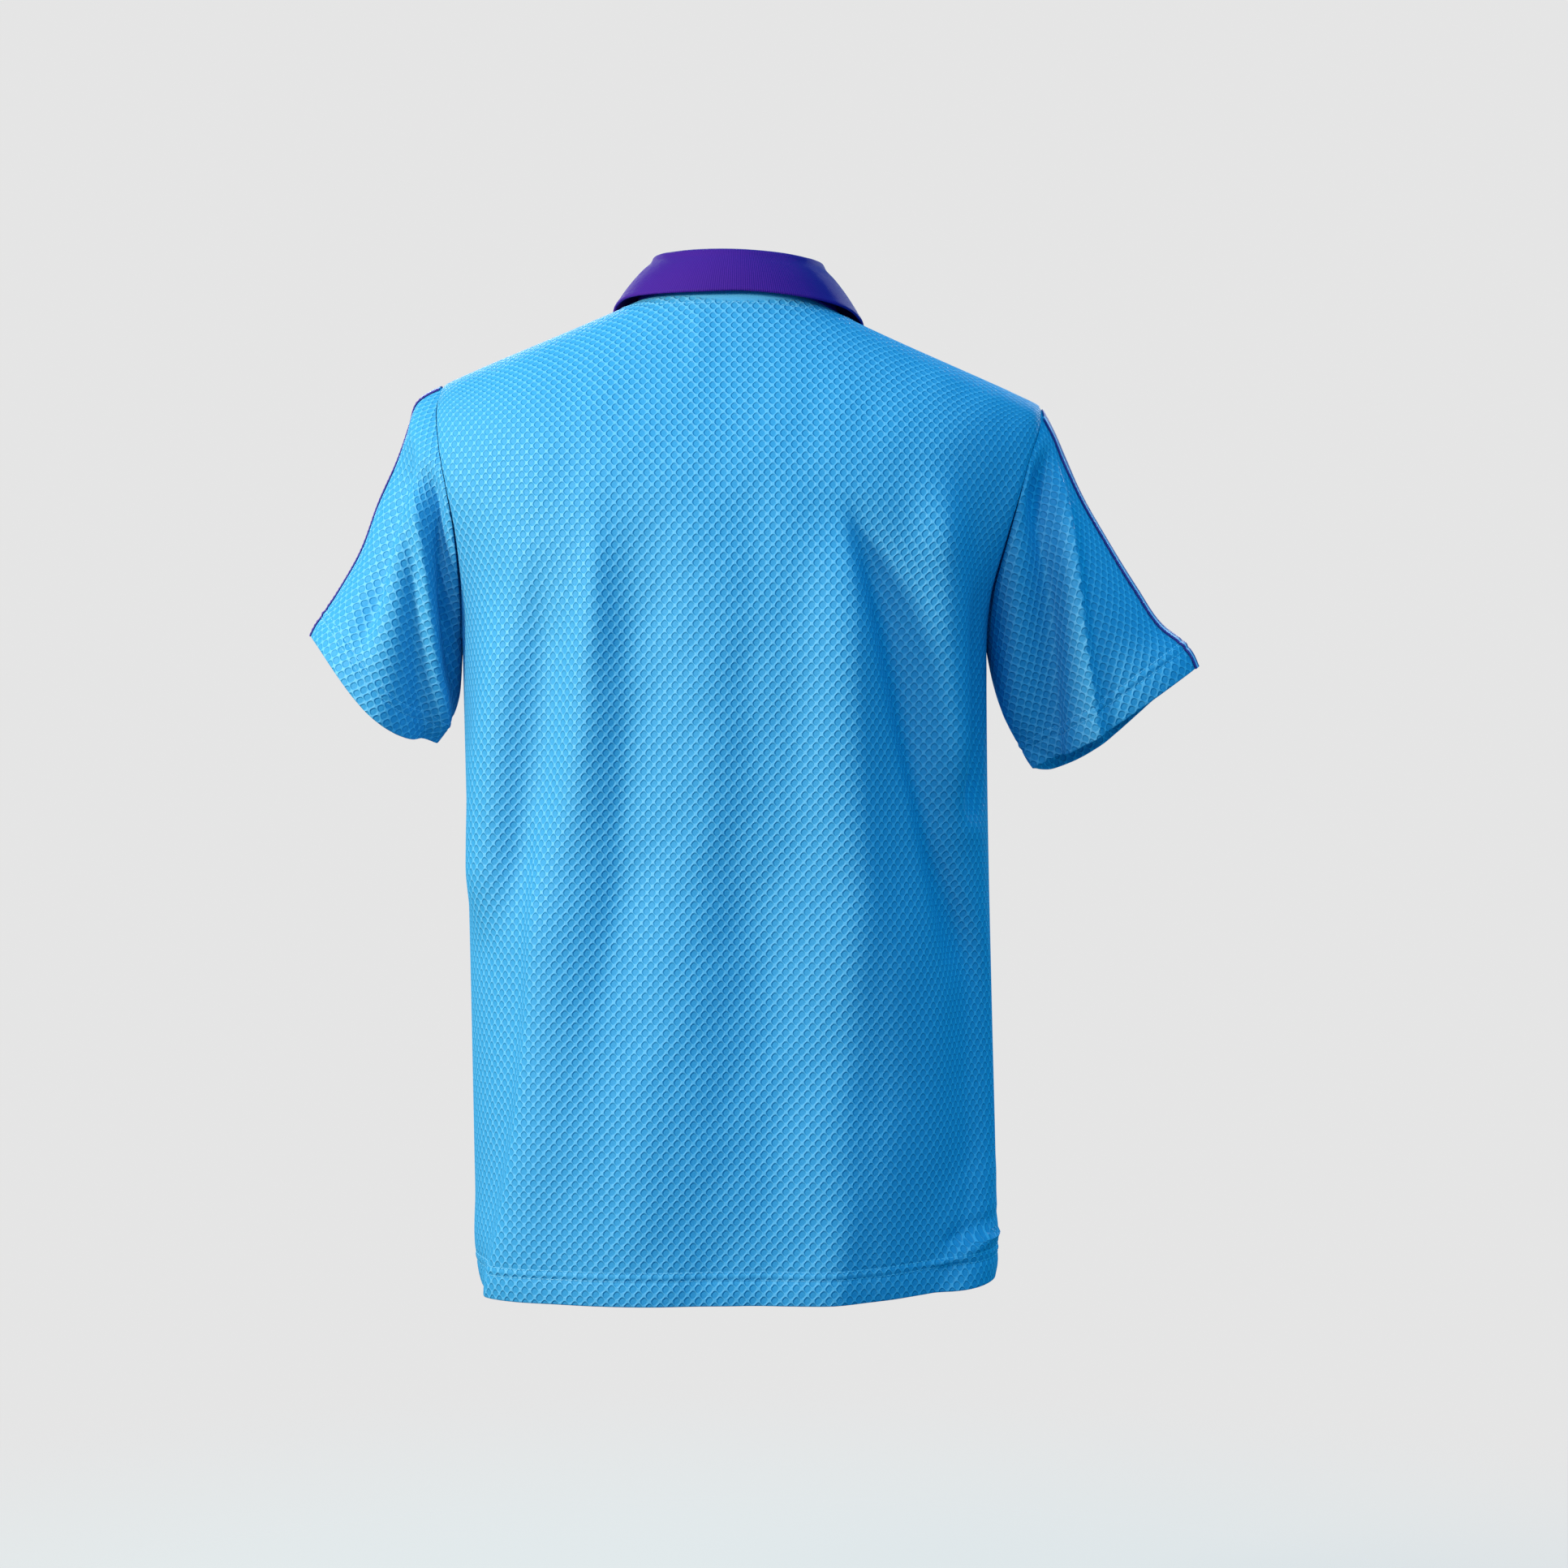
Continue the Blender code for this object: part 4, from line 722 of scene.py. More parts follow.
def dress_sleeve(side, shares):
    """The same for a sleeve, as rings, with the ways in which it leaves the armhole."""
    count = int(SLEEVE_REACH / SLEEVE_CELL)
    least = 0.3 / count
    along = np.linspace(0, 1, count + 1)
    near_cuff = 1 - np.concatenate([[0.0], edge_places(SLEEVE_REACH, HEM_CLOTH / 2),
                                    np.arange(HEM_CELL * 1.6, CUFF_STRIP, HEM_CELL) / SLEEVE_REACH])[::-1]
    near_seam = np.arange(0, CAP_STRIP, EDGE_CELL) / SLEEVE_REACH
    middle = along[(along > near_seam[-1] + least) & (along < near_cuff[0] - least)]
    along = np.concatenate([near_seam, middle, near_cuff])
    rings = sleeve_surface(side, shares, along)
    push = sleeve_push(side, rings, along)
    normals = ring_normals(rings)
    uneven = RIPPLE["sleeve"] * ripple(rings[..., 1], rings[..., 2], RIPPLE_SEEDS[side])
    push += uneven * smooth(along / RIPPLE_CAP)[:, None]
    rings = rings + push[..., None] * normals
    normals = ring_normals(rings)
    down = walk(rings, 0)
    up = down[-1:] - down
    shape = hem_shape(up, walk(rings, 1), CUFF_WIDTH, HEM_SEEDS[side])
    shape -= SEAM_DIP * np.exp(-(down / SEAM_DIP_WIDTH) ** 2)
    rings = rings + shape[..., None] * normals
    normals = ring_normals(rings)
    leaves = unit(rings[1] - rings[0])
    rings[0] += leaves * SEAM / 2
    return rings, normals, leaves, up, hem_thickness(up, CUFF_WIDTH), edge_drop(up, HEM_CLOTH / 2)


def seam_normals(own, other, other_leaves):
    """Normals at a seam: shared where both pieces go on into each other, and their own in a crease."""
    rise = np.sum(own * other_leaves, axis=-1, keepdims=True)
    share = smooth((CREASE_RISE - rise) / CREASE_RISE)
    return unit(own * (1 - share) + unit(own + other) * share)


# ---------------------------------------------------------------- cloth coordinates
def panel_coordinates(grid, normals, outward):
    """U across and V up the knit, in metres, walked from the middle of the hem."""
    sideways = outward * np.cross(normals, (0.0, 0.0, 1.0))
    over = np.array([1.0, 0.0, 0.0]) - normals * normals[..., :1]
    low, high = FACING_UP
    share = smooth((normals[..., 2:] - low) / (high - low))
    h = unit(unit(sideways) * (1 - share) + unit(over) * share)
    g = outward * np.cross(h, normals)
    middle = grid.shape[1] // 2
    maps = []
    for way in (h, g):
        line = way[:, middle]
        over = running(np.sum(np.diff(grid, axis=1) * (way[:, 1:] + way[:, :-1]) / 2, axis=2), 1)
        up = running(np.sum(np.diff(grid[:, middle], axis=0) * (line[1:] + line[:-1]) / 2, axis=1))
        maps.append(over + (up - over[:, middle])[:, None])
    return np.stack(maps, axis=2)


def fitted_map(points, ways):
    """The map coordinate whose steps over a grid of points come closest to going along the given ways."""
    steps = [np.diff(points, axis=axis) for axis in (0, 1)]
    sizes = [np.linalg.norm(step, axis=2) for step in steps]
    wanted = [np.sum(steps[0] * (ways[1:] + ways[:-1]) / 2, axis=2),
              np.sum(steps[1] * (ways[:, 1:] + ways[:, :-1]) / 2, axis=2)]
    weights = [sizes[1].mean() / sizes[0], np.gradient(walk(points, 0), axis=0)[:, 1:] / sizes[1]]

    def gather(over, along):
        total = np.zeros(points.shape[:2])
        total[1:] += weights[0] * over
        total[:-1] -= weights[0] * over
        total[:, 1:] += weights[1] * along
        total[:, :-1] -= weights[1] * along
        return total

    result = np.zeros(points.shape[:2])
    result[:, 1:] = np.cumsum(wanted[1], axis=1)
    left = gather(*wanted) - gather(np.diff(result, axis=0), np.diff(result, axis=1))
    way, size = left.copy(), np.sum(left * left)
    for _ in range(MAP_PASSES):
        change = gather(np.diff(way, axis=0), np.diff(way, axis=1))
        share = size / np.sum(way * change)
        result += share * way
        left -= share * change
        before, size = size, np.sum(left * left)
        way = left + way * size / before
    return result


def ring_coordinates(rings, normals):
    """U round and V up a sleeve, in metres, on a map that parts at the underarm."""
    axis = unit(rings[0].mean(axis=0) - rings[-1].mean(axis=0))
    g = unit(axis - normals * np.sum(normals * axis, axis=2, keepdims=True))
    h = np.cross(normals, g)
    turn, whole = rings.shape[1] // 2, rings.shape[1]
    order = np.concatenate([np.arange(turn, whole), np.arange(turn + 1)])
    opened = rings[:, order]
    maps = np.stack([fitted_map(opened, ways[:, order]) for ways in (h, g)], axis=2)
    maps -= maps[-1, whole - turn]
    return np.concatenate([maps[:, whole - turn:], maps[:, :whole - turn + 1]], axis=1), turn


def plain_coordinates(grid):
    """U along the columns' order and V along the rows', for narrow strips."""
    return np.stack([walk(grid, 1), walk(grid, 0)], axis=2)


# ---------------------------------------------------------------- meshes
def shell(name, outer, inner, uv, closed=False, cut=None, turn=None):
    """Closed wall between two grids, with the map "cloth". turn is the column where a ring's map parts."""
    count, width = outer.shape[:2]
    cells = width if closed else width - 1
    row, col = np.meshgrid(np.arange(count - 1), np.arange(cells), indexing="ij")
    if cut is not None:
        row, col = row[~cut], col[~cut]
    row, col = row.ravel(), col.ravel()
    rows = np.stack([row, row, row + 1, row + 1], axis=1)
    cols = np.stack([col, col + 1, col + 1, col], axis=1)
    quads = rows * width + cols % width
    shift = (col >= turn).astype(int)[:, None] if turn is not None else 0
    maps = uv[rows, cols + shift]
    starts, ends = quads, np.roll(quads, -1, axis=1)
    total = count * width
    forward = starts * total + ends
    backward = ends * total + starts
    rim = ~np.isin(forward, backward)
    rim_uv = np.stack([maps, np.roll(maps, -1, axis=1)], axis=2)[rim]
    a, b = starts[rim], ends[rim]
    faces = np.concatenate([quads, quads[:, ::-1] + total, np.stack([b, a, a + total, b + total], axis=1)])
    face_uv = np.concatenate([maps, maps[:, ::-1],
                              np.stack([rim_uv[:, 1], rim_uv[:, 0], rim_uv[:, 0], rim_uv[:, 1]], axis=1)])
    verts = np.concatenate([outer.reshape(-1, 3), inner.reshape(-1, 3)])
    used = np.unique(faces)
    back = np.full(len(verts), -1)
    back[used] = np.arange(len(used))
    faces = back[faces]
    verts = verts[used]
    p = verts[faces]
    volume = np.sum(p[:, 0] * np.cross(p[:, 1], p[:, 2])) + np.sum(p[:, 0] * np.cross(p[:, 2], p[:, 3]))
    if volume < 0:
        faces, face_uv = faces[:, ::-1], face_uv[:, ::-1]
    piece = solid(name, verts, faces.tolist())
    layer = piece.data.uv_layers.new(name="cloth")
    layer.data.foreach_set("uv", np.ascontiguousarray(face_uv, dtype=np.float32).ravel())
    piece.data.set_sharp_from_angle(angle=math.radians(SHARP_TURN))
    return piece


def solid(name, verts, faces):
    mesh = bpy.data.meshes.new(name)
    mesh.from_pydata(verts.tolist(), [], faces)
    mesh.shade_smooth()
    piece = new_object(name, mesh)
    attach(piece, "root")
    return piece


def stitches(name, lines, radius=STITCH_RADIUS, long=STITCH_LONG, gap=STITCH_GAP):
    """Rows of small thread loops. Each line is (points, normals) on the cloth's outer side."""
    sides, rings = STITCH_SIDES, len(STITCH_FORM)
    verts, faces = [], []
    round_turn = np.linspace(0, math.tau, sides, endpoint=False)
    share = np.linspace(0, 1, rings)
    lift = (np.sin(share * math.pi) * STITCH_RISE - STITCH_SUNK) * radius
    thick = np.array(STITCH_FORM) * radius
    for points, normals in lines:
        run = run_of(points)
        whole = run[-1]
        count = int((whole + gap) / (long + gap))
        if count < 1:
            continue
        pitch = whole / count
        for k in range(count):
            at = k * pitch + gap / 2 + (pitch - gap) * share
            centre = spaced(points, at)
            out = unit(spaced(normals, at))
            ahead = unit(np.gradient(centre, axis=0))
            beside = unit(np.cross(ahead, out))
            centre = centre + out * lift[:, None]
            ring = (centre[:, None] + beside[:, None] * (np.cos(round_turn) * thick[:, None])[..., None]
                    + out[:, None] * (np.sin(round_turn) * thick[:, None])[..., None])
            base = len(verts) * sides * rings
            verts.append(ring.reshape(-1, 3))
            for r in range(rings - 1):
                for s in range(sides):
                    t = (s + 1) % sides
                    low, high = base + r * sides, base + (r + 1) * sides
                    faces.append((low + s, high + s, high + t, low + t))
            faces.append(tuple(base + s for s in range(sides)))
            faces.append(tuple(base + (rings - 1) * sides + s for s in range(sides))[::-1])
    return solid(name, np.concatenate(verts), faces)


def level_line(grid, normals, distance, wanted):
    """Points and normals where a distance that grows along the columns reaches a value."""
    points, outs = [], []
    for col in range(grid.shape[1]):
        order = np.argsort(distance[:, col], kind="stable")
        keys = distance[order, col]
        points.append(read_at(keys, grid[order, col], wanted))
        outs.append(read_at(keys, normals[order, col], wanted))
    return np.array(points), unit(np.array(outs))


# ---------------------------------------------------------------- materials
MIX_COLOURS = 6             # where a mix node's first colour stands among its inputs
MIX_RESULT = 2              # and its mixed colour among its outputs


class Nodes:
    """Short hand for building a tree of nodes."""

    def __init__(self, tree):
        self.tree = tree

    def node(self, kind, *values, settings=None, **named):
        """A new node. Values go to its inputs in order, and named ones to the inputs of those names."""
        made = self.tree.nodes.new(kind)
        for key, value in (settings or {}).items():
            setattr(made, key, value)
        for key, value in [*enumerate(values), *named.items()]:
            socket = made.inputs[key]
            if isinstance(value, bpy.types.NodeSocket):
                self.tree.links.new(value, socket)
            elif value is not None:
                socket.default_value = value
        return made

    def math(self, operation, *values):
        return self.node("ShaderNodeMath", *values, settings={"operation": operation}).outputs[0]

    def vector(self, operation, *values):
        made = self.node("ShaderNodeVectorMath", *values, settings={"operation": operation})
        return made.outputs["Value" if operation in ("LENGTH", "DOT_PRODUCT") else "Vector"]

    def split(self, vector):
        return self.node("ShaderNodeSeparateXYZ", vector).outputs

    def step(self, value, low, high, to_low=0.0, to_high=1.0, kind="SMOOTHSTEP"):
        return self.node("ShaderNodeMapRange", value, low, high, to_low, to_high,
                         settings={"interpolation_type": kind}).outputs[0]

    def noise(self, place, scale, detail=2.0, roughness=0.5):
        return self.node("ShaderNodeTexNoise", Vector=place, Scale=scale, Detail=detail,
                         Roughness=roughness).outputs["Fac"]

    def blend(self, share, low, high):
        colours = [value if isinstance(value, bpy.types.NodeSocket) else (*value, 1) for value in (low, high)]
        unused = [None] * (MIX_COLOURS - 1)
        made = self.node("ShaderNodeMix", share, *unused, *colours, settings={"data_type": "RGBA"})
        return made.outputs[MIX_RESULT]

    def place(self):
        return self.node("ShaderNodeTexCoord").outputs["Object"]


class Graph(Nodes):
    """A Principled material and its nodes."""

    def __init__(self, name, colour, roughness, **constants):
        self.material = bpy.data.materials.new(name)
        self.material.use_nodes = True
        super().__init__(self.material.node_tree)
        self.shader = self.tree.nodes["Principled BSDF"]
        self.shader.inputs["Base Color"].default_value = (*colour, 1)
        self.shader.inputs["Roughness"].default_value = roughness
        for key, value in constants.items():
            self.shader.inputs[key.replace("_", " ")].default_value = value
        self.material.diffuse_color = (*colour, 1)

    def cloth(self):
        return self.node("ShaderNodeUVMap", settings={"uv_map": "cloth"}).outputs["UV"]

    def colour(self, value):
        self.wire(value, "Base Color")

    def rough(self, value, low, high, to_low, to_high):
        """Roughness that goes from to_low to to_high while a value rises from low to high."""
        self.wire(self.step(value, low, high, to_low, to_high), "Roughness")

    def bump(self, height, distance, strength):
        made = self.node("ShaderNodeBump", Strength=strength, Distance=distance, Height=height)
        self.wire(made.outputs["Normal"], "Normal")

    def wire(self, value, name):
        self.tree.links.new(value, self.shader.inputs[name])


KNIT_WIDE = 0.0077          # pitch of the knit's cells across the cloth
KNIT_TALL = 0.0086          # and up it, where every second row is set off by half a cell
KNIT_SQUARENESS = 2.4       # 2 makes the cells round
# the dimples are painted darker and the ridges lighter: painted shade in the dimples and painted light on the
# ridges, on top of the bump
KNIT_DIMPLE_SHADE = (0.060, 0.368, 0.680)
KNIT_RIDGE_LIT = (0.185, 0.540, 0.845)
KNIT_PAINTED_HIGHLIGHT = (0.300, 0.640, 0.900)  # painted highlight on the ridges that climb to the right, seen from behind, the side the key light falls on
KNIT_BAND = (0.130, 0.480, 0.800)   # the smooth band below the collar
KNIT_YARN = (0.03, 0.24, 0.50)      # between its yarns
KNIT_PATCH = (0.12, 0.46, 0.78)     # broad patches in which it is a little paler
BROAD_PATCHES = (0.35, 0.75)        # values of a noise between which such patches set in
NECK_BAND = (0.0887, 0.0746)        # half width of the band's outer line, and its depth behind the neck


def neck_band(made):
    """1 on the smooth band that goes round the back of the neck inside the topstitching."""
    x, y, z = made.split(made.place())
    behind = made.math("SUBTRACT", y, NECK_SIDE["left"][1])
    squares = [made.math("POWER", made.math("DIVIDE", value, size), 2.0)
               for value, size in ((x, NECK_BAND[0]), (behind, NECK_BAND[1]))]
    away = made.math("ADD", *squares)
    near = made.math("MULTIPLY", made.step(away, 0.97, 1.0, 1.0, 0.0), made.step(behind, 0.0, 0.004))
    return made.math("MULTIPLY", near, made.step(z, -0.040, -0.030))


def knit_material():
    """Honeycomb knit: round dimples in a lattice of thin raised ridges, with painted shade in the dimples,
    painted light on the ridges and a painted highlight on the ridges that climb to the right.
    """
    made = Graph("body_knit", (0.08, 0.37, 0.66), 0.50, Sheen_Weight=0.02, Sheen_Roughness=0.35,
                 Sheen_Tint=(0.62, 0.84, 1.0, 1), Specular_IOR_Level=0.35)
    uv = made.cloth()
    wobble = made.noise(uv, scale=60.0, detail=1.0)
    lean = made.math("MULTIPLY", made.math("SUBTRACT", wobble, 0.5), 0.16)
    across = made.vector("DOT_PRODUCT", uv, (1 / KNIT_WIDE, 0.0, 0.0))
    up = made.vector("DOT_PRODUCT", uv, (0.0, 1 / KNIT_TALL, 0.0))
    p = made.math("ADD", made.math("ADD", across, up), lean)
    q = made.math("SUBTRACT", made.math("SUBTRACT", across, up), lean)
    joined = made.node("ShaderNodeCombineXYZ", p, q).outputs[0]
    inside = made.vector("SUBTRACT", made.vector("FRACTION", made.vector("ADD", joined, (0.5, 0.5, 0.0))),
                         (0.5, 0.5, 0.0))
    aside, along, _ = made.split(made.vector("ABSOLUTE", inside))
    powers = [made.math("POWER", value, KNIT_SQUARENESS) for value in (aside, along)]
    reach = made.math("POWER", made.math("ADD", *powers), 1 / KNIT_SQUARENESS)
    band = neck_band(made)
    ridge = made.math("MULTIPLY", made.step(reach, 0.30, 0.52), made.math("SUBTRACT", 1.0, band))
    short = made.vector("MULTIPLY", uv, (1.0, 1.7, 1.0))
    yarn = made.noise(short, scale=1300.0, detail=2.0, roughness=0.6)
    height = made.math("ADD", ridge, made.math("MULTIPLY", yarn, 0.30))
    made.bump(height, distance=0.00068, strength=0.9)
    broad = made.noise(made.place(), scale=9.0, detail=2.0)
    # painted shade in the dimples and painted light on the ridges
    colour = made.blend(made.step(reach, 0.41, 0.52), KNIT_DIMPLE_SHADE, KNIT_RIDGE_LIT)
    # painted highlight on the ridges that climb to the right, where the key light falls
    painted_highlight = made.math("MULTIPLY", made.step(aside, 0.40, 0.49), 0.26)
    colour = made.blend(painted_highlight, colour, KNIT_PAINTED_HIGHLIGHT)
    colour = made.blend(band, colour, KNIT_BAND)
    colour = made.blend(made.math("MULTIPLY", yarn, 0.14), colour, KNIT_YARN)
    colour = made.blend(made.step(broad, *BROAD_PATCHES, 0.0, 0.10), colour, KNIT_PATCH)
    made.colour(colour)
    made.rough(ridge, 0.0, 1.0, 0.56, 0.46)
    return made.material


WALE = 0.0016               # pitch of the collar's ribs
COURSE = 0.0010             # and of its rows of loops
RIB_SHADE_AND_LIGHT = ((0.062, 0.009, 0.212), (0.092, 0.013, 0.275))    # painted shade between the ribs and painted light on them
RIB_PATCH = (0.105, 0.017, 0.295)


def collar_material():
    """Flat-knitted rib in violet: fine wales from the fold to the edge, with the courses across them, and
    painted shade between the wales.
    """
    made = Graph("collar_knit", (0.078, 0.011, 0.235), 0.66, Sheen_Weight=0.02, Sheen_Roughness=0.40,
                 Sheen_Tint=(0.75, 0.55, 1.0, 1), Specular_IOR_Level=0.10)
    uv = made.cloth()
    wale, course = (made.math("SINE", made.math("MULTIPLY", value, math.tau / pitch))
                    for value, pitch in zip(made.split(uv), (WALE, COURSE)))
    fuzz = made.noise(uv, scale=900.0, detail=2.0, roughness=0.6)
    height = made.math("ADD", made.math("MULTIPLY", wale, 0.5), made.math("MULTIPLY", course, 0.22))
    height = made.math("ADD", height, made.math("MULTIPLY", fuzz, 0.6))
    made.bump(height, distance=0.00022, strength=0.7)
    broad = made.noise(made.place(), scale=14.0, detail=2.0)
    # darker between the ribs and lighter on them: painted shade and light of the rib's relief
    colour = made.blend(made.step(wale, -1.0, 1.0), *RIB_SHADE_AND_LIGHT)
    colour = made.blend(made.step(broad, *BROAD_PATCHES, 0.0, 0.20), colour, RIB_PATCH)
    made.colour(colour)
    made.rough(fuzz, 0.3, 0.7, 0.56, 0.66)
    return made.material


TAPE_PALE = (0.0026, 0.0056)    # where the pale line lies, from the tape's back edge
PALE_BLUR = 0.0002
TWILL = 0.0011              # pitch of the tape's weave
# violets of the twill: painted shade in its grooves and painted light on its ridges
TAPE_TWILL_SHADE_AND_LIGHT = ((0.070, 0.014, 0.24), (0.10, 0.022, 0.31))
TAPE_LINE = (0.80, 0.72, 0.95)


def tape_material():
    """Woven tape: violet with one pale line near its back edge and a fine diagonal twill, whose grooves are
    painted darker as shade.
    """
    made = Graph("tape", (0.080, 0.016, 0.26), 0.50, Sheen_Weight=0.15, Sheen_Tint=(0.7, 0.6, 1.0, 1))
    uv = made.cloth()
    across, along, _ = made.split(uv)
    twill = made.math("SINE", made.math("MULTIPLY", made.math("ADD", across, along), math.tau / TWILL))
    start, end = (made.step(across, place - PALE_BLUR, place + PALE_BLUR) for place in TAPE_PALE)
    pale = made.math("SUBTRACT", start, end)
    fuzz = made.noise(uv, scale=1200.0, detail=2.0, roughness=0.6)
    height = made.math("ADD", made.math("MULTIPLY", twill, 0.4), made.math("MULTIPLY", fuzz, 0.5))
    made.bump(height, distance=0.00016, strength=0.7)
    # painted shade in the twill's grooves and painted light on its ridges
    violet = made.blend(made.step(twill, -1.0, 1.0), *TAPE_TWILL_SHADE_AND_LIGHT)
    made.colour(made.blend(pale, violet, TAPE_LINE))
    made.rough(fuzz, 0.3, 0.7, 0.46, 0.56)
    return made.material


def thread_material(name, colour, other):
    """Sewing thread, in two shades that vary along it."""
    made = Graph(name, colour, 0.42, Sheen_Weight=0.2, Specular_IOR_Level=0.45)
    fibre = made.noise(made.place(), scale=2600.0, detail=2.0, roughness=0.6)
    made.colour(made.blend(made.step(fibre, 0.3, 0.7), colour, other))
    made.bump(fibre, distance=0.00010, strength=0.6)
    made.rough(fibre, 0.3, 0.7, 0.36, 0.50)
    return made.material


RESIN_BLUES = ((0.045, 0.31, 0.66), (0.10, 0.45, 0.82))


def button_material():
    """Polished resin with faint swirls."""
    made = Graph("button_resin", (0.06, 0.36, 0.72), 0.22, Coat_Weight=0.4, Coat_Roughness=0.12,
                 Specular_IOR_Level=0.5)
    swirl = made.noise(made.place(), scale=420.0, detail=3.0, roughness=0.55)
    made.colour(made.blend(made.step(swirl, 0.3, 0.7), *RESIN_BLUES))
    made.bump(made.noise(made.place(), scale=1500.0), distance=0.00003, strength=0.5)
    made.rough(swirl, 0.3, 0.7, 0.18, 0.28)
    return made.material


# ---------------------------------------------------------------- the body
def wall(grid, normals, inward, thick, drop):
    """The outer and inner grids of a panel's cloth."""
    return grid - normals * drop[..., None], grid - inward * (thick - drop)[..., None]


def inward_normals(panels, sleeves, first, last):
    """Ways in which each half and sleeve is thickened: its normals, with those at the seams matched."""
    used = {name: values[1].copy() for name, values in [*panels.items(), *sleeves.items()]}
    count = last - first + 1
    for side, col, inward in SIDE_COLUMNS:
        both = unit(panels["back"][1][:, col] + panels["front"][1][:, col])
        _, normals, leaves = sleeves[side][:3]
        for half in OUTWARD:
            grid, body = panels[half][:2]
            used[half][:first, col] = both[:first]
            used[half][last + 1:, col] = both[last + 1:]
            for row in range(first, last + 1):
                step = last - row
                place = step if half == "back" else (-step) % (2 * count - 2)
                used[half][row, col] = seam_normals(body[row, col], normals[0, place], leaves[place])
                if 0 < step < count - 1:
                    away = unit(grid[row, inward] - grid[row, col])
                    used[side][0, place] = seam_normals(normals[0, place], body[row, col], away)
        for row in (first, last):
            shared = unit(used["back"][row, col] + used["front"][row, col])
            used["back"][row, col] = used["front"][row, col] = shared
        used[side][0, 0] = shared
    return used


def build_body(knit):
    """The four shells of the body and sleeves, and the grids that the sewing and tapes lie on."""
    grids, at_rows, at_cols, share = fine_panels()
    panels = {half: dress_panel(grids[half], half, share) for half in OUTWARD}
    first, last, shares = sleeve_shares(at_rows, share)
    sleeves = {side: dress_sleeve(side, shares) for side in SIDEWAYS}
    used = inward_normals(panels, sleeves, first, last)
    cut = np.zeros((len(at_rows) - 1, len(at_cols) - 1), bool)
    slit, slit_end = (nearest(at_cols, SLIT_COLUMN + k) for k in (0, 1))
    cut[nearest(at_rows, at_rows[-1] - PLACKET_ROWS + 1):, slit:slit_end] = True
    for half, outward in OUTWARD.items():
        grid, normals, up, thick, drop = panels[half]
        piece = shell(half + "_cloth", *wall(grid, normals, used[half], thick, drop),
                      panel_coordinates(grid, normals, outward), cut=cut if half == "front" else None)
        finish_piece(piece, knit, "body_knit", half)
        panels[half] = (grid, normals, up)
    for side in SIDEWAYS:
        rings, normals, _, up, thick, drop = sleeves[side]
        uv, turn = ring_coordinates(rings, normals)
        piece = shell("sleeve_%s_cloth" % side, *wall(rings, normals, used[side], thick, drop), uv,
                      closed=True, turn=turn)
        finish_piece(piece, knit, "body_knit", "sleeve_" + side)
        sleeves[side] = (rings, normals, up)
    return panels, sleeves, at_rows, at_cols, shares


def finish_piece(piece, material, slot, *nodes):
    """A piece's material, and the solids that it stands in for, which it hides. slot is not used."""
    piece.data.materials.append(material)
    if nodes:
        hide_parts(*nodes)


def sew_hems(panels, sleeves, thread):
    """Twin rows of stitches along the hem and both cuffs."""
    places = (HEM_WIDTH, HEM_WIDTH - NEEDLE_GAP)
    lines = [level_line(*panels[half], place) for half in OUTWARD for place in places]
    finish_piece(stitches("stitch_hem", lines), thread, "body_knit")
    for side in SIDEWAYS:
        lines = []
        for place in (CUFF_WIDTH, CUFF_WIDTH - NEEDLE_GAP):
            line = level_line(*sleeves[side], place)
            lines.append([np.concatenate([values, values[:1]]) for values in line])
        finish_piece(stitches("stitch_cuff_" + side, lines), thread, "body_knit")


def sew_neck(panels, thread):
    """Topstitching that follows the neck seam across the back, below the collar."""
    grid, normals, _ = panels["back"]
    down = walk(grid[::-1], 0)[::-1]
    line = [values[3:-3] for values in level_line(grid, normals, down, NECK_STITCH)]
    finish_piece(stitches("stitch_neck", [line]), thread, "body_knit")


# ---------------------------------------------------------------- tapes
def strip(name, under, out, thick, uv):
    """The shell of a flat strip that lies on a surface, with rounded long edges."""
    side = walk(under, 1)
    drop = edge_drop(np.minimum(side, side[:, -1:] - side), thick / 2)
    low, high = (under + out * (SEAM + height)[..., None] for height in (drop, thick - drop))
    return shell(name, high, low, uv)


def rounded_columns(grid, normals, radius):
    """The same surface with extra columns beside both long edges, where a strip's edge is rounded."""
    lines, outs = [], []
    near = np.array([radius * (1 - math.sin(math.radians(turn))) for turn in ROUND_STEPS])
    clear = radius * 1.6
    for line, out in zip(grid, normals):
        run = run_of(line)
        inner = run[(run > clear) & (run < run[-1] - clear)]
        at = np.concatenate([near, inner, (run[-1] - near)[::-1]])
        lines.append(read_at(run, line, at))
        outs.append(read_at(run, out, at))
    return np.array(lines), unit(np.array(outs))


def build_tapes(panels, sleeves, at_rows, at_cols, shares, tape, thread):
    """Tapes on the front beside the shoulder seams, and on down the sleeves."""
    grid, normals, _ = panels["front"]
    first = nearest(at_rows, TIP_LINE)
    right_end = nearest(at_cols, len(TAPE_STEPS))
    left_start = nearest(at_cols, at_cols[-1] - len(TAPE_STEPS))
    picks = {"right": np.arange(right_end + 1), "left": np.arange(len(at_cols) - 1, left_start - 1, -1)}
    for side in SIDEWAYS:
        cols = picks[side]
        tape_piece("shoulder_tape_" + side, grid[first:, cols], normals[first:, cols], tape, thread)
        rings, ring_out, _ = sleeves[side]
        first_col, last_col = (nearest(shares, ARMHOLE_SHARES[abs(k)]) for k in TAPE_RINGS[side])
        cols = np.arange(last_col, -first_col - 1, -1) % rings.shape[1]
        tape_piece("sleeve_tape_" + side, rings[TAPE_START:, cols], ring_out[TAPE_START:, cols], tape, thread)


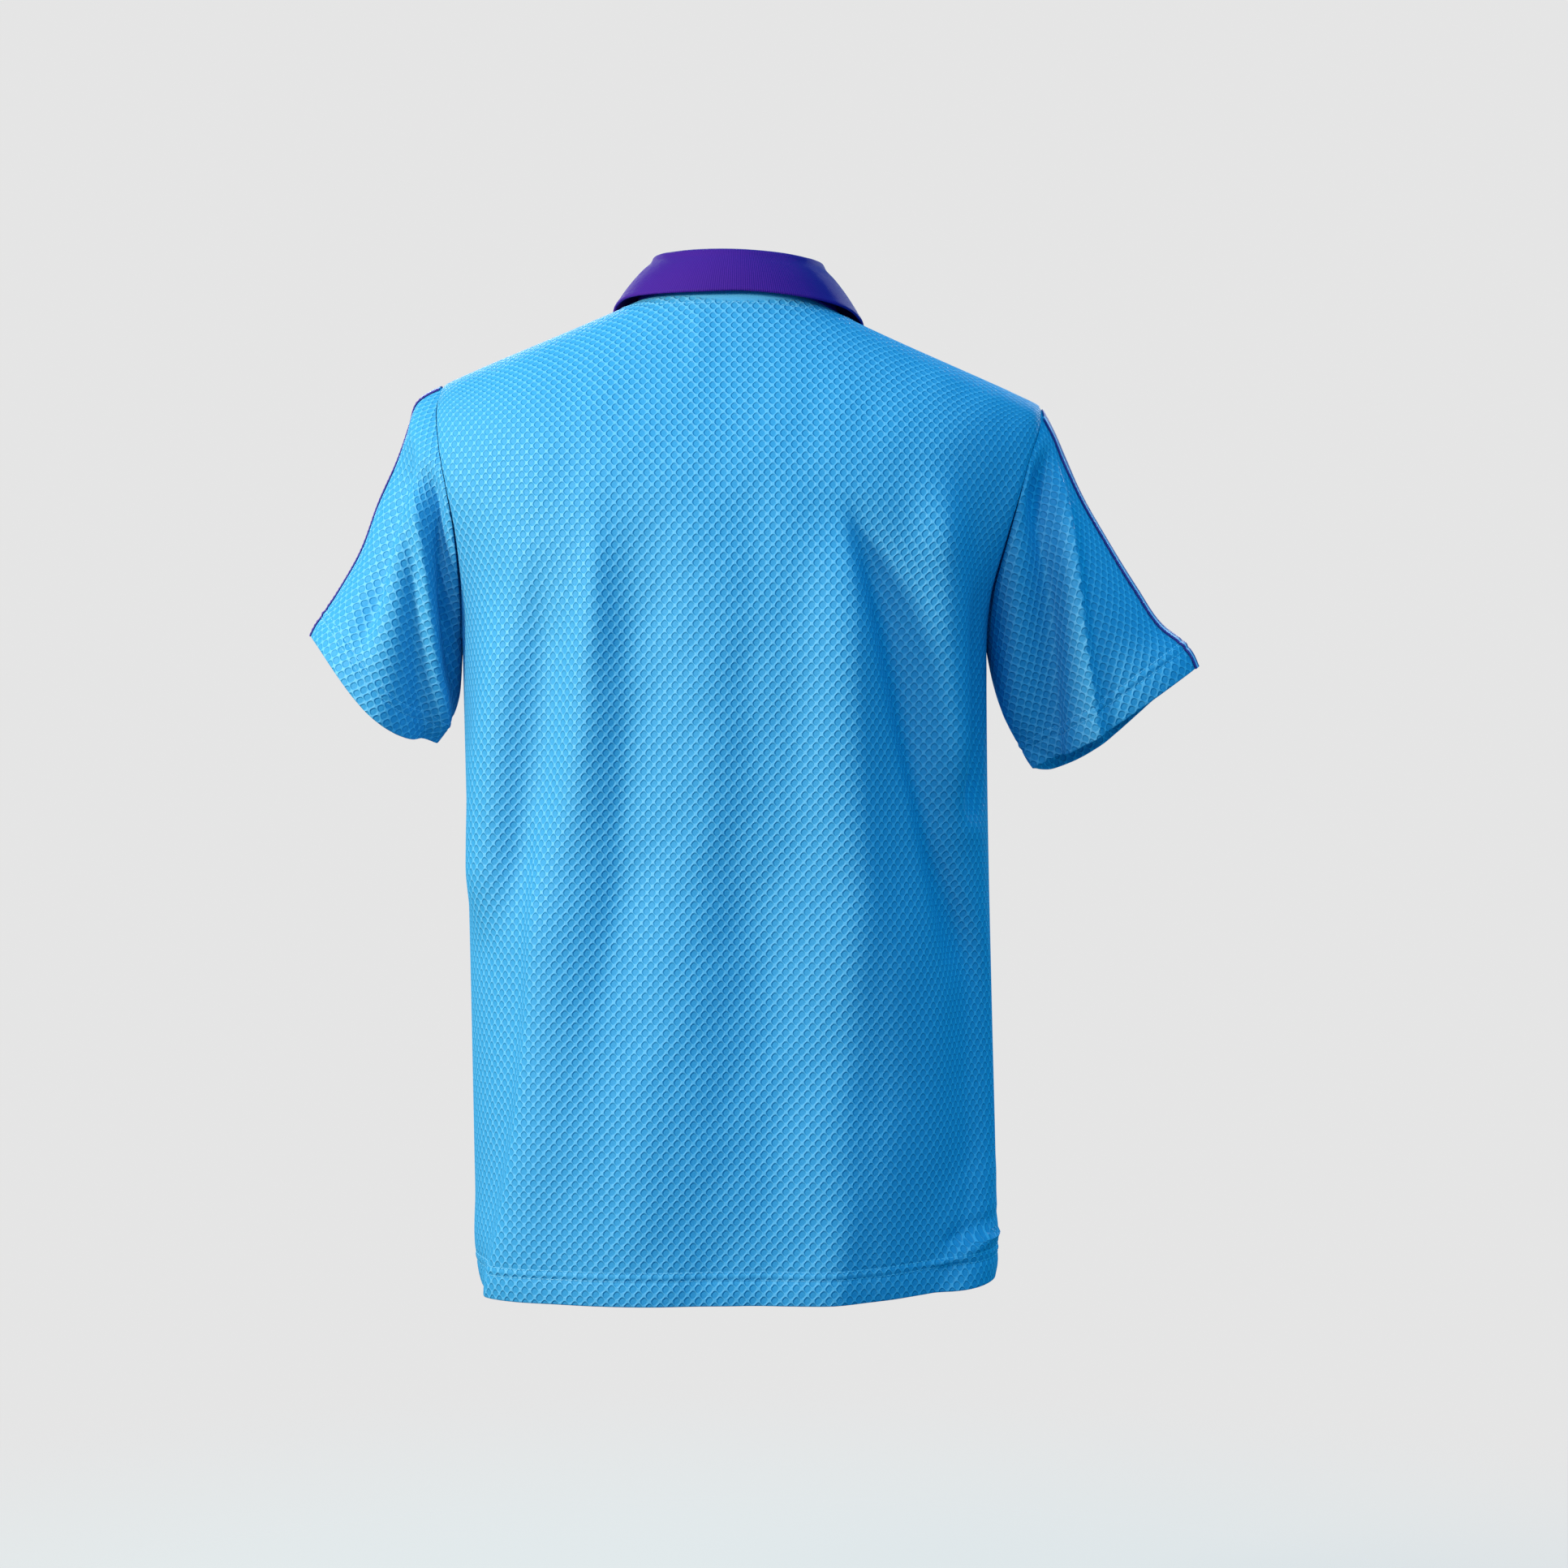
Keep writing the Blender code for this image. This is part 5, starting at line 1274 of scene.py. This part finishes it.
def tape_piece(node, grid, normals, tape, thread):
    """One tape on a surface, with a row of stitches beside each long edge."""
    under, out = rounded_columns(grid, normals, TAPE_CLOTH / 2)
    piece = strip(node + "_cloth", under, out, TAPE_CLOTH, plain_coordinates(under))
    finish_piece(piece, tape, "tape", node)
    outs = out[:, 0]
    lines = [(np.array([spaced(line, [place])[0] for line in under]) + outs * (SEAM + TAPE_CLOTH), outs)
             for place in (TAPE_STITCH, -TAPE_STITCH)]
    finish_piece(stitches("stitch_" + node, lines, radius=TAPE_THREAD), thread, "tape")


# ---------------------------------------------------------------- placket and buttons
def build_placket(panels, at_rows, at_cols, knit, thread):
    """Strips over and under the slit, with the stitches round the upper one."""
    grid, normals, _ = panels["front"]
    start, end = nearest(at_cols, SLIT_COLUMN - 1), nearest(at_cols, SLIT_COLUMN + 2)
    low = nearest(at_rows, at_rows[-1] - PLACKET_ROWS)
    under, out = grid[low:, start:end + 1].copy(), normals[low:, start:end + 1]
    step = under[-1] - under[nearest(at_rows, at_rows[-1] - 1) - low]
    under[-1] -= step * PLACKET_TOP
    keep = np.r_[:len(under) - 3, len(under) - 1]       # without two rows that the lowered top would cross
    under, out = rounded_columns(under[keep], out[keep], PLACKET_CLOTH / 2)
    inside = under - out * (CLOTH + 2 * SEAM + PLACKET_CLOTH)
    for name, surface in (("upper", under), ("under", inside)):
        piece = strip("placket_%s_cloth" % name, surface, out, PLACKET_CLOTH, plain_coordinates(under))
        finish_piece(piece, knit, "body_knit", "placket_" + name)
    face = under + out * (SEAM + PLACKET_CLOTH)
    middle = out.shape[1] // 2
    lines = []
    for place in (PLACKET_STITCH, -PLACKET_STITCH):
        points = np.array([spaced(line, [place])[0] for line in face])
        lines.append((points[2:], unit(out[2:, middle])))
    for place in PLACKET_BARS:
        row = nearest(walk(under, 0)[:, middle], place)
        lines.append((face[row, 4:-4], out[row, 4:-4]))
    finish_piece(stitches("stitch_placket", lines), thread, "body_knit")


def sew_buttons(thread, resin):
    """Better finish for the buttons, with the thread that crosses their four holes."""
    lines = []
    reach = BUTTON_RADIUS * BUTTON_HOLES
    for number in range(1, BUTTON_COUNT + 1):
        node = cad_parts["button_%d" % number]
        node.data.materials.clear()
        node.data.materials.append(resin)
        coords = np.array([v.co for v in node.data.vertices])
        centre = coords.mean(axis=0)
        spread = np.linalg.svd(coords - centre)[2]
        facing = spread[2] if spread[2][1] < 0 else -spread[2]
        side = unit(np.cross(facing, (0.0, 0.0, 1.0)))
        top = centre + facing * (BUTTON_THICK / 2 - BUTTON_DISH)
        rise = np.cross(side, facing)
        for turn in (45, -45):
            arm = side * math.cos(math.radians(turn)) + rise * math.sin(math.radians(turn))
            lines.append((np.array([top - arm * reach, top, top + arm * reach]), np.array([facing] * 3)))
    piece = stitches("button_thread", lines, radius=BUTTON_THREAD, long=reach * 2, gap=0.0)
    finish_piece(piece, thread, "button")


# ---------------------------------------------------------------- collar
def panel_point(panels, turn, reach, clear):
    """A point on the body, reached over the panel from the neck seam, and moved out from it."""
    half = "back" if abs(turn) < 90 else "front"
    grid, normals = (values[::-1] for values in panels[half])
    run, ring = walk(grid, 0), grid[0]
    side_x, side_y, _ = NECK_SIDE["left"]
    depth = abs(NECK_DEPTH[half] - side_y)
    angle = np.degrees(np.arctan2(ring[:, 0] / side_x, (ring[:, 1] - side_y) / depth))
    if half == "front":
        angle, turn = angle % 360, turn % 360
    order = np.argsort(angle)
    place = np.interp(turn, angle[order], order.astype(float))
    low = int(np.clip(math.floor(place), 0, grid.shape[1] - 2))
    weights = ((low, 1 - (place - low)), (low + 1, place - low))
    point, facing = (sum(weight * read_at(run[:, col], values[:, col], reach) for col, weight in weights)
                     for values in (grid, normals))
    return point + unit(facing) * clear


def collar_value(name, turn, mirror=1):
    """A value of the collar's table at a turn round the neck. mirror=-1 is for one that changes sign."""
    right, left = (name + "_right", name + "_left") if name == "fold_z" else (name, name)
    turns = [-row.turn for row in COLLAR_LINES[:0:-1]] + column(COLLAR_LINES, "turn")
    values = [mirror * getattr(row, right) for row in COLLAR_LINES[:0:-1]] + column(COLLAR_LINES, left)
    return float(spline(turns, values, turn))


def collar_control(panels):
    """Middle surface of the collar: [station round the neck, place from the seam over the fold, xyz]."""
    sections = []
    for turn in np.linspace(-COLLAR_TURN, COLLAR_TURN, COLLAR_STATIONS + 1):
        size = abs(turn)
        sign = 1 if turn > 0 else -1
        fold = np.array([collar_value("fold_x", turn, mirror=-1), collar_value("fold_y", turn),
                         collar_value("fold_z", turn)])
        slant = COLLAR_SPREAD * smooth((size - COLLAR_SPREAD_START) / (COLLAR_TURN - COLLAR_SPREAD_START))
        seam = panel_point(panels, turn, 0.0, 0.0)
        edge = panel_point(panels, sign * (size - slant), collar_value("fall", turn),
                           collar_value("clear", turn) + COLLAR_CLOTH / 2)
        away = unit(np.array([fold[0], fold[1] - NECK_SIDE["left"][1], 0.0]))
        down = np.array([0.0, 0.0, COLLAR_BEND])
        stand_low = seam + np.array([0, 0, SEAM + STAND_CLEAR]) - away * COLLAR_CLOTH * 0.5
        inner_top = fold - away * COLLAR_BEND - down
        outer_top = fold + away * COLLAR_BEND - down
        line = [stand_low * (1 - share) + inner_top * share for share in (0.0, 0.5, 1.0)]
        for step in (1, 2, 3):
            angle = math.pi * step / 4
            line.append(fold - down - away * COLLAR_BEND * math.cos(angle) + down * math.sin(angle))
        line.append(outer_top)
        for share in (0.25, 0.5, 0.75, 1.0):
            bow = math.sin(math.pi * share) * COLLAR_BOW
            line.append(outer_top * (1 - share) + edge * share + away * bow)
        sections.append(line)
    return np.array(sections)


def build_collar(panels, collar_knit):
    """The collar's shell round its middle surface, with a slight rim beside its edges."""
    middle = collar_control(panels)
    radius = COLLAR_CLOTH / 2
    spans = mean_spans(middle, 1)
    at = fine_places(spans, np.full(len(spans), COLLAR_CELLS[1]))
    ends = [len(spans) - share for share in edge_places(float(spans[-1]), radius)[::-1]]
    at = np.concatenate([at[at < ends[0] - LEAST_STEP], ends, [float(len(spans))]])
    wide = np.stack([refine(line, at) for line in middle])
    spans = mean_spans(wide, 0)
    places = fine_places(spans, np.full(len(spans), COLLAR_CELLS[0]))
    near = edge_places(float(spans[0]), radius)
    inner = places[(places > near[-1] + LEAST_STEP) & (places < places[-1] - near[-1] - LEAST_STEP)]
    places = np.concatenate([[0.0], near, inner, places[-1] - np.array(near)[::-1], [places[-1]]])
    fine = np.stack([refine(wide[:, k], places) for k in range(wide.shape[1])], axis=1)
    normals = unit(np.cross(np.gradient(fine, axis=0), np.gradient(fine, axis=1)))
    along, over = walk(fine, 0), walk(fine, 1)
    to_leaf = over[:, -1:] - over
    to_end = np.minimum(along, along[-1:] - along)
    half_thick = radius - edge_drop(np.minimum(to_leaf, to_end), radius)
    rim = sum(COLLAR_RIM * np.exp(-((run - COLLAR_RIM_PLACE) / COLLAR_RIM_WIDTH) ** 2)
              for run in (to_leaf, to_end))
    high = fine + normals * (half_thick + rim * (half_thick / radius))[..., None]
    low = fine - normals * half_thick[..., None]
    uv = np.stack([along[:, -1:] * np.ones(fine.shape[1]), over], axis=2)
    finish_piece(shell("collar_cloth", high, low, uv), collar_knit, "collar_knit", "collar")


def control_panels():
    """The solids' own panels with their folds, which the collar's edge is measured over."""
    rows = panel_rows()
    panels = {}
    for half, outward in OUTWARD.items():
        grid = panel_control(half, rows)
        push, _, _, normals = panel_folds(grid, half, rows)
        grid = grid + push[..., None] * normals
        panels[half] = (grid, grid_normals(grid, outward))
    return panels


# ---------------------------------------------------------------- light, floor and camera
FOCUS = Vector((0.0, 0.0, -0.349))
CAMERA_AWAY = 2.35
CAMERA_LENS = 72.98
CAMERA_SHIFT = 0.029
PALE = 0.785                # the backdrop's grey


def aim(obj, target):
    obj.rotation_euler = (Vector(target) - obj.location).to_track_quat("-Z", "Y").to_euler()


def add_camera():
    """The camera straight behind the shirt."""
    camera = new_object("camera", bpy.data.cameras.new("camera"))
    camera.data.lens = CAMERA_LENS
    camera.data.sensor_width = 36.0
    camera.data.shift_x = CAMERA_SHIFT
    camera.location = (0.0, CAMERA_AWAY, FOCUS.z)
    camera.rotation_euler = (math.radians(90), 0.0, math.radians(180))
    bpy.context.scene.camera = camera


Lamp = namedtuple("Lamp", "name place target size power colour")
LAMPS = (
    Lamp("key", (1.92, 1.25, 0.42), (0.0, 0.0, -0.35), 0.5, 47.0, (1.0, 0.98, 0.74)),
    Lamp("camera_side", (1.15, 2.30, 0.85), (0.0, 0.0, -0.35), 0.8, 16.0, (0.94, 1.0, 0.84)),
    Lamp("rim_right", (-1.1, -2.0, 0.75), (-0.24, 0.0, -0.15), 0.4, 10.0, (1.0, 1.0, 1.0)),
    Lamp("front_fill", (0.6, -2.4, 0.7), (0.0, 0.0, -0.35), 1.4, 26.0, (1.0, 0.96, 0.90)),
)
AMBIENT = (0.05, 0.76, 1.24)    # colour of the even light round the shirt
AMBIENT_LOW = 0.05              # its strength from below
AMBIENT_HIGH = 0.93             # and from above


def add_light():
    """The lamps, and a world that lights the shirt from all round and shows the camera a plain backdrop."""
    for lamp in LAMPS:
        obj = new_object(lamp.name, bpy.data.lights.new(lamp.name, "AREA"))
        obj.data.shape = "DISK"
        obj.data.size = lamp.size
        obj.data.energy = lamp.power
        obj.data.color = lamp.colour
        obj.location = lamp.place
        obj.visible_camera = False
        aim(obj, lamp.target)
    world = bpy.data.worlds.new("studio")
    bpy.context.scene.world = world
    world.use_nodes = True
    made = Nodes(world.node_tree)
    _, _, rise = made.split(made.node("ShaderNodeTexCoord").outputs["Generated"])
    strength = made.step(rise, -1.0, 1.0, AMBIENT_LOW, AMBIENT_HIGH, kind="LINEAR")
    ambient = made.node("ShaderNodeBackground", (*AMBIENT, 1), strength)
    shown = made.node("ShaderNodeBackground", (PALE, PALE, PALE, 1), 1.0)
    seen = made.node("ShaderNodeLightPath").outputs["Is Camera Ray"]
    mixed = made.node("ShaderNodeMixShader", seen, ambient.outputs[0], shown.outputs[0])
    made.tree.links.new(mixed.outputs[0], made.tree.nodes["World Output"].inputs["Surface"])
    bpy.context.scene.view_settings.view_transform = "Standard"


FLOOR_Z = -1.06
FLOOR_RADIUS = 1.5
FLOOR_RINGS = 12
FLOOR_SIDES = 96
FLOOR_GLOW = 0.62
FLOOR_FADE = (0.25, 0.98)   # shares of its radius between which it fades


def add_floor():
    """A round pale floor that fades into the backdrop at its rim."""
    sides = FLOOR_SIDES
    turns = [math.tau * k / sides for k in range(sides)]
    radii = [FLOOR_RADIUS * ring / FLOOR_RINGS for ring in range(1, FLOOR_RINGS + 1)]
    verts = [(0.0, 0.0, FLOOR_Z)] + [(radius * math.cos(turn), radius * math.sin(turn), FLOOR_Z)
                                     for radius in radii for turn in turns]
    steps = [(k, (k + 1) % sides) for k in range(sides)]
    faces = [(0, 1 + k, 1 + t) for k, t in steps]
    faces += [(low + k, low + sides + k, low + sides + t, low + t)
              for low in range(1, 1 + (FLOOR_RINGS - 1) * sides, sides) for k, t in steps]
    mesh = bpy.data.meshes.new("floor")
    mesh.from_pydata(verts, [], faces)
    floor = new_object("floor", mesh)
    made = Graph("floor", (0.20, 0.17, 0.15), 0.9, Specular_IOR_Level=0.0, Emission_Color=(1, 1, 1, 1),
                 Emission_Strength=FLOOR_GLOW)
    away = made.vector("LENGTH", made.vector("MULTIPLY", made.place(), (1, 1, 0)))
    low, high = (FLOOR_RADIUS * share for share in FLOOR_FADE)
    made.wire(made.step(away, low, high, 1.0, 0.0), "Alpha")
    mesh.materials.append(made.material)
    floor.visible_diffuse = False
    floor.visible_glossy = False


add_camera()
add_light()
add_floor()
KNIT = knit_material()
COLLAR_KNIT = collar_material()
TAPE = tape_material()
THREAD = thread_material("thread_blue", (0.24, 0.60, 0.90), (0.38, 0.74, 0.96))
THREAD_VIOLET = thread_material("thread_violet", (0.14, 0.045, 0.36), (0.21, 0.075, 0.46))
RESIN = button_material()
PANELS, SLEEVES, AT_ROWS, AT_COLS, SHARES = build_body(KNIT)
sew_hems(PANELS, SLEEVES, THREAD)
sew_neck(PANELS, THREAD)
build_tapes(PANELS, SLEEVES, AT_ROWS, AT_COLS, SHARES, TAPE, THREAD_VIOLET)
build_placket(PANELS, AT_ROWS, AT_COLS, KNIT, THREAD)
sew_buttons(THREAD, RESIN)
build_collar(control_panels(), COLLAR_KNIT)
